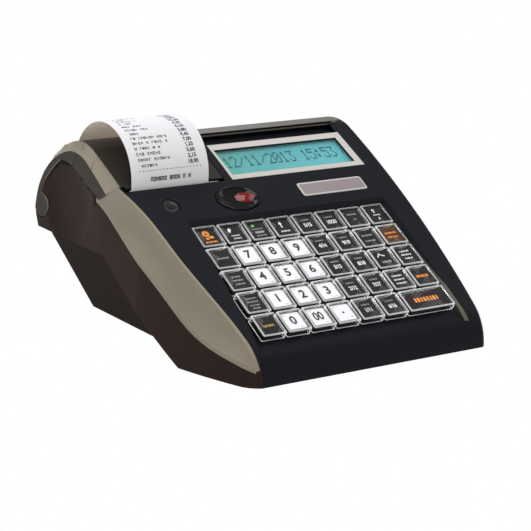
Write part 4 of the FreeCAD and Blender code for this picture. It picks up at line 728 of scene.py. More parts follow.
def digit_label(figures: str) -> Label:
    """White label with a bold figure and small signs in its corners.

    Args:
        figures: Figures on the key.

    Returns:
        The label.
    """
    small = [Mark(-4.4, 5.0, 2.6, 0.9, Ink.DIM, blocks=3), Mark(3.6, -5.0, 2.8, 0.8, Ink.DIM, blocks=3)]
    if figures == ".":
        return Label("cut_white_card", (Mark(0, 0.2, 1.7, 1.7, Ink.BLACK, outline=DISC),
                                     Mark(4.2, -4.2, 0.9, 1.8, Ink.BLACK, outline=FLAG), small[0]))
    width = 0.82 if len(figures) > 1 else 1.0
    return Label("cut_white_card", (Mark(-0.2, 0.3, width, 6.4, Ink.BLACK, text=figures), *small))


def department_label(figures: str) -> Label:
    """Black label with a small word over a pair of numbers."""
    return Label("printed_black_film", (Mark(0, 3.3, 6.4, 1.1, Ink.DIM, blocks=5),
                                 Mark(0.2, -1.2, 0.78, 3.1, Ink.WHITE, text=figures)))


def word_label(rows: Sequence[tuple[float, float, int]], ink: Ink = Ink.WHITE, height: float = 1.25) -> Label:
    """Black label with words in rows of (y, width, blocks)."""
    marks = tuple(Mark(0, y, width, height, ink, blocks=count) for y, width, count in rows)
    return Label("printed_black_film", marks)


LABELS: dict[tuple[int, int], Label] = {
    (1, 1): Label("printed_black_film", (Mark(-0.8, 2.6, 5.0, 5.0, Ink.ORANGE, outline=DISC),
                                  Mark(-0.8, 2.6, 2.4, 2.4, Ink.RUST, outline=DISC),
                                  Mark(1.8, -0.6, 3.4, 2.0, Ink.ORANGE), Mark(-1.4, -1.4, 2.4, 1.6, Ink.ORANGE),
                                  Mark(0, -4.4, 8.8, 1.6, Ink.ORANGE, blocks=7))),
    (1, 2): Label("printed_black_film", (Mark(-1.6, 2.6, 2.8, 4.2, Ink.WHITE, outline=FLAG),
                                  Mark(0.4, -1.8, 6.8, 1.0, Ink.WHITE, blocks=6),
                                  Mark(0.8, -4.2, 6.0, 1.1, Ink.WHITE, blocks=5))),
    (1, 3): Label("printed_black_film", (Mark(-2.2, 4.2, 2.4, 2.0, Ink.GREEN, outline=DISC),
                                  Mark(0, 1.2, 7.6, 1.0, Ink.DIM, blocks=6), Mark(0, -1.6, 6.8, 1.6, Ink.DIM),
                                  Mark(0, -4.4, 7.0, 1.0, Ink.DIM, blocks=6))),
    (1, 4): Label("printed_black_film", (Mark(-0.6, 2.2, 2.8, 5.4, Ink.WHITE, outline=UP_ARROW),
                                  Mark(0, -3.6, 6.8, 1.3, Ink.WHITE, blocks=6))),
    (1, 5): department_label("5/15"), (1, 6): department_label("10/20"),
    (1, 7): word_label(((2.8, 7.4, 6), (-1.6, 2.4, 2)), Ink.DIM),
    (1, 8): Label("printed_black_film", (Mark(-0.6, 3.4, 2.6, 3.6, Ink.WHITE, outline=UP_ARROW),
                                  Mark(0, -0.4, 6.0, 1.0, Ink.WHITE, blocks=5),
                                  Mark(0.4, -3.8, 1.5, 2.4, Ink.WHITE, outline=FLAG))),
    (2, 1): word_label(((0.2, 8.4, 7),), Ink.DIM),
    (2, 2): digit_label("7"), (2, 3): digit_label("8"), (2, 4): digit_label("9"),
    (2, 5): department_label("4/14"), (2, 6): department_label("9/19"),
    (2, 7): word_label(((2.2, 8.2, 6), (-2.6, 8.2, 6)), Ink.DIM, 1.3),
    (2, 8): Label("printed_rust_film", (Mark(0, 1.6, 8.8, 1.5, Ink.ORANGE, blocks=6),
                                 Mark(0, -2.0, 8.8, 1.3, Ink.ORANGE, blocks=7))),
    (3, 1): word_label(((3.0, 6.4, 5), (0.0, 7.6, 6), (-3.0, 7.2, 6)), Ink.DIM),
    (3, 2): digit_label("4"), (3, 3): digit_label("5"), (3, 4): digit_label("6"),
    (3, 5): department_label("3/13"), (3, 6): department_label("8/18"),
    (3, 7): Label("printed_black_film", (Mark(-0.8, 2.8, 6.4, 4.2, Ink.WHITE, outline=PEAK),
                                  Mark(0.6, -3.0, 7.2, 1.8, Ink.DIM, blocks=5))),
    (3, 8): word_label(((3.4, 8.0, 6), (0.4, 8.0, 7), (-2.8, 6.4, 5)), Ink.WHITE),
    (4, 1): word_label(((3.4, 7.6, 6), (0.6, 8.0, 7), (-2.2, 7.6, 6), (-4.6, 5.0, 4)), Ink.DIM, 1.0),
    (4, 2): digit_label("1"), (4, 3): digit_label("2"), (4, 4): digit_label("3"),
    (4, 5): department_label("2/12"), (4, 6): department_label("7/17"),
    (4, 7): word_label(((3.2, 8.4, 7), (0.0, 8.4, 7), (-3.2, 8.4, 7)), Ink.WHITE),
    (4, 8): word_label(((0.0, 9.4, 7),), Ink.ORANGE, 2.2),
    (5, 1): word_label(((-0.4, 8.6, 6),), Ink.GOLD, 1.7),
    (5, 2): digit_label("0"), (5, 3): digit_label("00"), (5, 4): digit_label("."),
    (5, 5): department_label("1/11"), (5, 6): department_label("6/16"),
    (5, 7): word_label(((0.0, 20.0, 8),), Ink.ORANGE, 3.6),
}


@dataclass(frozen=True)
class ClearKey:
    """A clear acrylic cap over a printed insert in its dark carrier, in millimetres."""

    pitch: float = 19.0
    side: float = 17.4
    low: float = -4.0
    top: float = 1.0
    wall: float = 1.0
    edge: float = 0.8
    insert: float = 13.4
    margin: float = 1.1
    label_level: float = -0.55
    carrier: float = 13.9
    seat: float = 0.2
    card: float = 0.24
    card_step: float = 0.02
    ink_lift: float = 0.03
    stem: float = 2.3
    stem_low: float = -14.0

    def build(self, row: int, column: int, wide: bool, finishes: Finishes) -> bpy.types.Object:
        """Make one key.

        Args:
            row: Row of the key, 1 at the back.
            column: Column of the key, 1 at the left.
            wide: True for the key that covers two pitches.
            finishes: Materials.

        Returns:
            The key as one object on its own body.
        """
        name = f"key_r{row}c{column}"
        extra = self.pitch if wide else 0.0
        middle = extra / 2
        piece = Piece(f"cap_r{row}c{column}")
        clear, edge = finishes["moulded_clear_acrylic"], finishes["painted_highlight_acrylic_edge"]
        self.shell(piece, extra, clear, edge)
        label = LABELS[(row, column)]
        width = self.insert + extra
        piece.prism(rounded(self.carrier + extra, self.carrier, 1.4, (middle, 0), 3), self.low + self.seat,
                    self.label_level - self.card - 0.01, finishes["polished_black_abs"])
        white = label.ground == "cut_white_card"
        piece.prism(rounded(width, self.insert, 1.2, (middle, 0), 4), self.label_level - self.card,
                    self.label_level - self.card_step, finishes["cut_grey_card" if white else label.ground])
        if white:
            piece.prism(rounded(width - self.margin, self.insert - self.margin, 0.8, (middle, 0), 4),
                        self.label_level - self.card + 0.04, self.label_level, finishes[label.ground])
        for mark in label.marks:
            mark.draw(piece, finishes, middle, self.label_level + self.ink_lift)
        for x in (0.0, extra) if wide else (0.0,):
            piece.block((x - self.stem, -self.stem, self.stem_low), (x + self.stem, self.stem, self.low + self.seat),
                        finishes["polished_black_abs"])
        place = DECK.matrix() @ Matrix.Translation(((column - 1) * self.pitch, -(row - 1) * self.pitch, 0))
        return piece.place(place).build(name, name, smooth=20)

    def shell(self, piece: Piece, extra: float, clear: bpy.types.Material, edge: bpy.types.Material) -> None:
        """Add the hollow clear cap: walls, chamfered top, ceiling and the lower rim between the walls.

        Args:
            piece: Piece that is added to.
            extra: Length added to a double key.
            clear: Finish of its clear walls.
            edge: Finish of its edges, whitish as painted highlight.
        """
        outer = [self.ring(piece, extra, *spot) for spot in (
            (0.0, self.low, 0.9), (0.0, self.top - self.edge, 0.9), (self.edge * 0.45, self.top - 0.18, 0.7),
            (self.edge, self.top, 0.6))]
        inner = [self.ring(piece, extra, *spot) for spot in (
            (self.wall, self.low, 0.5), (self.wall + 0.25, self.top - self.wall - 0.3, 0.5),
            (self.wall + 0.6, self.top - self.wall, 0.4))]
        # The chamfered top edge and the lower rim take the whitish painted highlight.
        for first, second, finish in ((outer[0], outer[1], clear), (outer[1], outer[2], edge),
                                      (outer[2], outer[3], edge), (inner[0], outer[0], edge),
                                      (inner[1], inner[0], clear), (inner[2], inner[1], clear)):
            piece.skin(first, second, finish)
        piece.paint([piece.mesh.faces.new(outer[3]), piece.mesh.faces.new(list(reversed(inner[2])))], clear)

    def ring(self, piece: Piece, extra: float, inset: float, level: float,
             radius: float) -> list[bmesh.types.BMVert]:
        """Add one ring of the cap's wall."""
        side = self.side - 2 * inset
        return piece.ring(rounded(side + extra, side, radius, (extra / 2, 0), 3), level)


class KeyField:
    """All keys of the register."""

    ROWS = 5
    COLUMNS = 8
    WIDE_COLUMN = 7

    def __init__(self, finishes: Finishes, key: ClearKey = ClearKey()) -> None:
        """Note the materials and the sizes of a key."""
        self.finishes = finishes
        self.key = key

    def build(self) -> list[bpy.types.Object]:
        """Make every key.

        Returns:
            The keys.
        """
        made = []
        for row in range(1, self.ROWS + 1):
            last = self.WIDE_COLUMN if row == self.ROWS else self.COLUMNS
            for column in range(1, last + 1):
                wide = row == self.ROWS and column == self.WIDE_COLUMN
                made.append(self.key.build(row, column, wide, self.finishes))
        return made


@dataclass(frozen=True)
class Receipt:
    """The printed receipt: up through the slot, over in an arch, in millimetres."""

    left: float = -95.25
    width: float = 57.5
    thick: float = 0.14
    arch_y: float = 41.5
    arch_z: float = 101.3
    arch_radius: float = 33.3
    arch_end: float = 27.0
    platen_y: float = 17.5
    platen_z: float = 90.5
    platen_radius: float = 6.55
    steps: int = 120
    columns: int = 10
    # Each line of the print: blocks in its word, the word's width in millimetres and its amount.
    LINES = (
        (9, 17, "3,20"), (6, 12, "8,75"), (10, 20, "41,00"), (5, 10, "2,60"), (8, 15, "0,90"), (5, 9, "15,30"),
        (7, 14, "4,25"), (9, 17, "6,10"), (5, 8, "3,80"), (14, 27, "9,45"), (13, 26, "7,00"), (10, 19, "1,25"),
        (9, 18, "5,60"), (12, 24, "2,15"), (7, 14, "18,90"),
    )
    print_start: float = 21.0
    line_step: float = 3.75
    print_left: float = 6.0
    amount_middle: float = 46.5
    amount_height: float = 2.6
    dashes: int = 19
    dash_step: float = 2.5
    dash_length: float = 1.0
    dash_height: float = 0.5
    total_left: float = 15.0
    total_step: float = 2.0
    total_blocks: int = 15
    TOTAL_GAPS = (6, 11, 13)

    def path(self) -> list[Flat]:
        """Middle line of the paper in (y, z), from its free end to where it leaves the platen.

        Returns:
            Points of the path.
        """
        points = []
        for step in range(self.steps + 1):
            angle = math.radians(self.arch_end + (180.0 - self.arch_end) * step / self.steps)
            points.append((self.arch_y + self.arch_radius * math.cos(angle),
                           self.arch_z + self.arch_radius * math.sin(angle)))
        points.append((self.arch_y - self.arch_radius, 99.1))
        points.append((self.platen_y - self.platen_radius, 93.6))
        points.append((self.platen_y - self.platen_radius, self.platen_z))
        for step in range(1, 17):
            angle = math.radians(180.0 + 90.0 * step / 16)
            points.append((self.platen_y + self.platen_radius * math.cos(angle),
                           self.platen_z + self.platen_radius * math.sin(angle)))
        points.append((40.0, self.platen_z - self.platen_radius))
        return points

    def on_arch(self, along: float, lift: float) -> Flat:
        """Place on the arch, a length along the paper from its free end, lifted off its outer face.

        Args:
            along: Length along the paper from its free end.
            lift: Distance off the paper.

        Returns:
            Its place in (y, z).
        """
        angle = math.radians(self.arch_end) + along / self.arch_radius
        reach = self.arch_radius + self.thick / 2 + lift
        return self.arch_y + reach * math.cos(angle), self.arch_z + reach * math.sin(angle)

    def build(self, finishes: Finishes) -> list[bpy.types.Object]:
        """Make the paper and its print.

        Args:
            finishes: Materials of the register.

        Returns:
            The paper and its print.
        """
        piece = Piece("receipt_paper")
        outer, inner = self.grid(piece, -1.0), self.grid(piece, 1.0)
        last, columns = len(outer) - 1, self.columns
        quads = [(grid[k][u], grid[k][u + 1], grid[k + 1][u + 1], grid[k + 1][u])
                 for grid in (outer, inner) for k in range(last) for u in range(columns)]
        quads += [(outer[k][u], outer[k + 1][u], inner[k + 1][u], inner[k][u])
                  for k in range(last) for u in (0, columns)]
        quads += [(outer[k][u], outer[k][u + 1], inner[k][u + 1], inner[k][u])
                  for k in (0, last) for u in range(columns)]
        faces = [piece.mesh.faces.new(quad) for quad in quads]
        piece.paint(faces, finishes["coated_thermal_paper"])
        bmesh.ops.recalc_face_normals(piece.mesh, faces=faces)
        piece.place(Matrix.Scale(MM, 4))
        paper = piece.build("lid", "receipt_strip", smooth=50)
        ink = self.text(finishes).build("lid")
        return [paper, ink]

    def grid(self, piece: Piece, side: float) -> list[list[bmesh.types.BMVert]]:
        """Add the corners of one face of the paper, row by row along its path.

        Args:
            piece: Piece that is added to.
            side: Minus one for the outer face, one for the inner.

        Returns:
            Rows of corners.
        """
        path = self.path()
        rows = []
        for count, (y, z) in enumerate(path):
            before, after = path[max(count - 1, 0)], path[min(count + 1, len(path) - 1)]
            dy, dz = after[0] - before[0], after[1] - before[1]
            lift = side * self.thick / 2 / math.hypot(dy, dz)
            spot = (y - dz * lift, z + dy * lift)
            rows.append([piece.mesh.verts.new((self.left + self.width * u / self.columns, *spot))
                         for u in range(self.columns + 1)])
        return rows

    @staticmethod
    def glyph(piece: Piece, x: float, along: float, wide: float, tall: float, kind: int,
              ink: bpy.types.Material, stroke: float = 0.45) -> None:
        """Add one block of a word, with one or two notches so that it reads as print from afar.

        Args:
            piece: Piece that is added to.
            x: Place across the paper.
            along: Length along the paper from its free end.
            wide: Width of the block.
            tall: Height of the block.
            kind: Number that picks its strokes.
            ink: Ink that it is drawn with.
            stroke: Greatest width of a stroke.
        """
        bar = min(0.36 * wide, stroke)
        parts = [(x - wide / 2 + bar / 2, 0.0, bar, tall)]
        if kind % 3:
            parts.append((x + wide / 2 - bar / 2, 0.0, bar, tall * (1.0 if kind % 2 else 0.6)))
        for share in ((-0.5, 0.5), (0.5,), (-0.5, 0.0, 0.5), (0.0,))[kind % 4]:
            parts.append((x, share * (tall - bar), wide, bar))
        for middle, rise, width, height in parts:
            left, right = middle - width / 2, middle + width / 2
            low, high = rise - along - height / 2, rise - along + height / 2
            piece.flat([(left, low), (right, low), (right, high), (left, high)], 0, ink)

    def text(self, finishes: Finishes) -> Piece:
        """Print of the receipt: words as blocks, amounts as figures, bent onto the arch.

        Args:
            finishes: Materials of the register.

        Returns:
            The print, still to be built.
        """
        piece = Piece("receipt_print")
        ink = finishes["thermal_grey_print"]
        for count, (blocks, width, amount) in enumerate(self.LINES):
            along = self.print_start + self.line_step * (count + 1)
            share = width / blocks
            for item in range(blocks):
                if math.sin(item * 2.7 + count) < 0.86:
                    wide = share * (0.7 + 0.16 * math.sin(item * 1.9 + count * 1.3))
                    tall = 1.75 + 0.35 * math.sin(item * 3.1 + count * 0.7)
                    middle = self.print_left + share * (item + 0.5)
                    self.glyph(piece, middle, along, wide, tall, item + count * 5, ink)
            piece.words(amount, (self.amount_middle, -along), self.amount_height, 0, ink, 1.0, 0.05)
        along = self.print_start + self.line_step * (len(self.LINES) + 0.85)
        low, high = -along - self.dash_height / 2, -along + self.dash_height / 2
        for item in range(self.dashes):
            left = self.print_left + item * self.dash_step
            right = left + self.dash_length
            piece.flat([(left, low), (right, low), (right, high), (left, high)], 0, ink)
        along += self.line_step * 1.45
        for item in range(self.total_blocks):
            if item not in self.TOTAL_GAPS:
                self.glyph(piece, self.total_left + item * self.total_step, along, 1.75, 2.7, item * 3 + 1, ink, 0.65)
        bmesh.ops.subdivide_edges(piece.mesh, edges=[e for e in piece.mesh.edges if e.calc_length() > 1.2], cuts=2)
        for vertex in piece.mesh.verts:
            y, z = self.on_arch(-vertex.co.y, 0.03)
            vertex.co = Vector((self.left + vertex.co.x, y, z)) * MM
        return piece


# Each sign of the display as seven rows of five dots, two hexadecimal figures to a row.
DOTS = {
    "0": "0E11131519110E", "1": "040C040404040E", "2": "0E11010204081F", "3": "1F02040201110E",
    "4": "02060A121F0202", "5": "1F101E0101110E", "6": "0608101E11110E", "7": "1F010204080808",
    "8": "0E11110E11110E", "9": "0E11110F01020C", "/": "00010204081000", ":": "000C0C000C0C00",
    " ": "00000000000000",
}


@dataclass(frozen=True)
class DisplayFace:
    """Face of a liquid crystal display with its row of dot characters, in millimetres of its plane."""

    name: str = "lcd_face"
    plane: Plane = DISPLAY
    text: str = "12/11/2013 15:53"
    left: float = 1.0
    right: float = 104.5
    front: float = 2.7
    back: float = 31.7
    level: float = -3.97
    first: float = 6.6
    step: float = 5.7
    dot_width: float = 0.98
    dot_height: float = 1.42
    dot_across: float = 1.04
    dot_up: float = 1.54
    text_front: float = 14.6

    def build(self, finishes: Finishes) -> bpy.types.Object:
        """Make the lit face and the characters.

        Args:
            finishes: Materials of the register.

        Returns:
            The face.
        """
        piece = Piece(self.name)
        piece.flat([(self.left, self.front), (self.right, self.front), (self.right, self.back),
                    (self.left, self.back)], self.level, finishes["backlit_lcd_glass"])
        for count, sign in enumerate(self.text):
            rows = bytes.fromhex(DOTS[sign])
            for line, bits in enumerate(rows):
                for column in range(5):
                    if bits >> (4 - column) & 1:
                        x = self.first + count * self.step + column * self.dot_across
                        y = self.text_front + (6 - line) * self.dot_up
                        piece.flat([(x, y), (x + self.dot_width, y), (x + self.dot_width, y + self.dot_height),
                                    (x, y + self.dot_height)], self.level + 0.02, finishes["switched_lcd_cell"])
        return piece.place(self.plane.matrix()).build("case")


CUSTOMER_FACE = DisplayFace("customer_lcd_face", CUSTOMER, left=0.4, right=71.6, front=0.4, back=19.6, level=0.05,
                            first=3.6, step=4.05, dot_width=0.64, dot_height=1.0, dot_across=0.7, dot_up=1.1,
                            text_front=6.2)


@dataclass(frozen=True)
class Socket:
    """One socket of the main board: where its hole is and what is in it, in millimetres."""

    middle: float
    level: float
    width: float
    height: float
    shell: str
    blades: int = 0
    pins: int = 0


@dataclass(frozen=True)
class RearSockets:
    """Contacts inside the sockets of the rear connector bay."""

    sockets: tuple[Socket, ...] = (
        Socket(4.16, 20.35, 11.8, 8.2, "moulded_socket_nylon", blades=6),
        Socket(22.4, 19.1, 8.6, 7.8, "moulded_socket_nylon", blades=4),
        Socket(40.64, 19.85, 16.4, 8.6, "drawn_steel_can", pins=9),
        Socket(56.6, 19.1, 6.4, 6.4, "moulded_socket_nylon", pins=1),
    )
    front: float = 76.0
    depth: float = 14.0
    blade_pitch: float = 1.27
    blade: float = 0.5
    pin: float = 1.1
    pin_pitch: float = 2.77

    def build(self, finishes: Finishes) -> bpy.types.Object:
        """Make the spring blades, the plug insert and the pins.

        Args:
            finishes: Materials of the register.

        Returns:
            The contacts.
        """
        piece = Piece("socket_contacts")
        for socket in self.sockets:
            top = socket.level + socket.height / 2
            for count in range(socket.blades):
                x = socket.middle + (count - (socket.blades - 1) / 2) * self.blade_pitch
                piece.block((x - self.blade / 2, self.front - self.depth * 0.8, top - 2.2),
                            (x + self.blade / 2, self.front - 2.0, top - 1.7), finishes["hobbed_brass"])
            if socket.pins > 1:
                piece.block((socket.middle - socket.width * 0.42, self.front - self.depth, socket.level - 2.9),
                            (socket.middle + socket.width * 0.42, self.front - 5.0, socket.level + 2.9),
                            finishes["moulded_socket_nylon"], 0.8)
            upper_row = (socket.pins + 1) // 2
            for count in range(socket.pins):
                upper = count < upper_row
                row, place = (upper_row, count) if upper else (socket.pins // 2, count - upper_row)
                x = socket.middle + (place - (row - 1) / 2) * self.pin_pitch
                z = socket.level + (0.0 if socket.pins == 1 else self.pin_pitch * (0.5 if upper else -0.5))
                piece.block((x - self.pin / 2, self.front - self.depth, z - self.pin / 2),
                            (x + self.pin / 2, self.front - 2.5, z + self.pin / 2), finishes["hobbed_brass"], 0.3)
        return piece.place(Matrix.Scale(MM, 4)).build("case")


@dataclass(frozen=True)
class LidButton:
    """Oval button with a red lens sunk in its right half, in millimetres of the label plane."""

    x: float = 33.8
    up: float = 23.9
    width: float = 32.0
    length: float = 21.0
    top: float = 6.4
    low: float = 3.2
    lens_x: float = 39.8
    lens_width: float = 15.4
    lens_length: float = 8.6

    def build(self, finishes: Finishes) -> bpy.types.Object:
        """Make plate, lens and stem.

        Args:
            finishes: Materials of the register.

        Returns:
            The button.
        """
        piece = Piece("lid_button_oval")
        black = finishes["lacquered_black_abs"]
        # Each ring of the plate: its share of the size and its level.
        rings = ((1.0, self.low), (1.0, self.top - 0.55), (0.975, self.top - 0.12), (0.93, self.top),
                 (0.86, self.top - 0.1), (0.8, self.top - 0.75), (0.5, self.top - 1.05))
        piece.stack(ellipse(self.width, self.length, steps=72), (self.x, self.up), rings, black)
        self.lens(piece, finishes)
        piece.prism(ellipse(6.0, 6.0, (self.x, self.up), 32), self.low - 9.0, self.low, black)
        return piece.place(DECK.matrix()).build("lid_button", "lid_button")

    def lens(self, piece: Piece, finishes: Finishes) -> None:
        """Add the faceted lens: a wedge with a pointed right end and a bright ridge.

        Args:
            piece: Piece that is added to.
            finishes: Materials of the register.
        """
        half, deep = self.lens_width / 2, self.lens_length / 2
        x, y, top = self.lens_x, self.up, self.top
        base = [(x - half, y - deep * 0.35), (x - half * 0.5, y - deep), (x + half * 0.35, y - deep * 0.9),
                (x + half, y - deep * 0.1), (x + half * 0.4, y + deep * 0.75), (x - half * 0.45, y + deep),
                (x - half, y + deep * 0.45)]
        red = finishes["moulded_red_acrylic"]
        crown = piece.ring([(x + (a - x) * 0.72, y + (b - y) * 0.66 + 0.3) for a, b in base], top + 0.45)
        piece.skin(piece.ring(base, top - 0.95), crown, red)
        peak = piece.mesh.verts.new((x + half * 0.1, y + 0.3, top + 0.75))
        piece.paint([piece.mesh.faces.new((first, second, peak))
                     for first, second in zip(crown, crown[1:] + crown[:1])], red)


@dataclass(frozen=True)
class TopFittings:
    """Blank plate and seal plug on the slope, in millimetres of the label plane."""

    badge_left: float = 83.2
    badge_right: float = 135.5
    badge_front: float = 18.5
    badge_back: float = 30.2
    seal_x: float = -16.0
    seal_up: float = 24.5
    seal_radius: float = 5.7
    # Each ring of the plug: its share of the radius and its level.
    SEAL_RINGS = ((1.0, 3.95), (1.0, 4.6), (0.94, 4.95), (0.8, 5.05), (0.7, 4.7), (0.42, 4.65), (0.36, 5.0))
    # Arc of the slope in (y, z): its middle and its radius.
    SLOPE_MIDDLE = (329.106, -487.652)
    SLOPE_RADIUS = 668.5

    def build(self, finishes: Finishes) -> list[bpy.types.Object]:
        """Make the badge and the plug.

        Args:
            finishes: Materials of the register.

        Returns:
            The badge and the plug.
        """
        badge = Piece("badge_plate")
        width, length = self.badge_right - self.badge_left, self.badge_back - self.badge_front
        middle = ((self.badge_left + self.badge_right) / 2, (self.badge_front + self.badge_back) / 2)
        level = self.deck_level(middle[1])
        badge.prism(rounded(width, length, 1.8, middle, 6), -0.8, 0.45, finishes["bevelled_pale_aluminium"], 0.3)
        badge.prism(rounded(width - 2.4, length - 2.4, 1.0, middle, 6), 0.3, 0.5, finishes["anodised_grey_aluminium"])
        tilt = Matrix.Translation((0, 0, level))
        badge_item = badge.place(DECK.matrix() @ tilt).build("case")
        plug = Piece("seal_plug")
        plug.stack(ellipse(2 * self.seal_radius, 2 * self.seal_radius, steps=40), (self.seal_x, self.seal_up),
                   self.SEAL_RINGS, finishes["moulded_black_nylon"])
        return [badge_item, plug.place(DECK.matrix()).build("case")]

    def deck_level(self, up: float) -> float:
        """Height of the curved slope above the label plane, a distance up from the first row.

        Args:
            up: Distance up the slope from the first row of keys.

        Returns:
            The height.
        """
        run, rise = math.cos(math.radians(DECK.slope)), math.sin(math.radians(DECK.slope))
        out = 0.0
        for _ in range(12):
            y = DECK.origin[1] + up * run - out * rise
            z = DECK.origin[2] + up * rise + out * run
            out += self.SLOPE_RADIUS - math.hypot(y - self.SLOPE_MIDDLE[0], z - self.SLOPE_MIDDLE[1])
        return out


@dataclass(frozen=True)
class Arc:
    """One arc of an outline in millimetres: the points it runs between and its radius.

    The middle of the arc lies to the right of the way from start to end.
    """

    start: Flat
    end: Flat
    radius: float

    def middle(self) -> Vector:
        """Middle of the arc's circle, right of the way along it.

        Returns:
            The middle in (y, z).
        """
        first, last = Vector(self.start), Vector(self.end)
        chord = last - first
        drop = math.sqrt(self.radius ** 2 - (chord.length / 2) ** 2)
        return (first + last) / 2 + Vector((chord.y, -chord.x)).normalized() * drop

    def holds(self, point: Vector, slack: float = 0.004) -> bool:
        """Whether the direction from the middle to a point lies on the arc.

        Args:
            point: Place in (y, z).
            slack: Angle in radians allowed past each end.

        Returns:
            True where it does.
        """
        middle = self.middle()
        half = math.asin((Vector(self.end) - Vector(self.start)).length / 2 / self.radius)
        toward = (Vector(self.start) + Vector(self.end)) / 2 - middle
        return (point - middle).angle(toward, math.pi) <= half + slack

    def depth(self, point: Vector) -> float:
        """How far a point lies inside the arc."""
        return self.radius - (point - self.middle()).length

    def directions(self, step: float) -> list[Vector]:
        """Directions across the way at even steps along the arc, for planes that cut it.

        Args:
            step: Longest step along the arc.

        Returns:
            Directions of unit length.
        """
        middle = self.middle()
        start = Vector(self.start) - middle
        turn = start.angle_signed(Vector(self.end) - middle)
        count = max(2, math.ceil(abs(turn) * self.radius / step))
        made = []
        for k in range(1, count):
            ray = start.copy()
            ray.rotate(Matrix.Rotation(-turn * k / count, 2))
            made.append(Vector((-ray.y, ray.x)).normalized())
        return made


# The case's side profile in (y, z), from the nose over the slope and the crest to the back.
SIDE_ARCS = (
    Arc((-108.0, 3.0), (-94.5, 29.504), 34.8), Arc((-94.5, 29.504), (44.0, 117.0), 668.5),
    Arc((44.0, 117.0), (72.0, 115.6), 33.3), Arc((72.0, 115.6), (108.0, 66.0), 63.9),
    Arc((108.0, 66.0), (103.5, 54.0), 63.9),
)


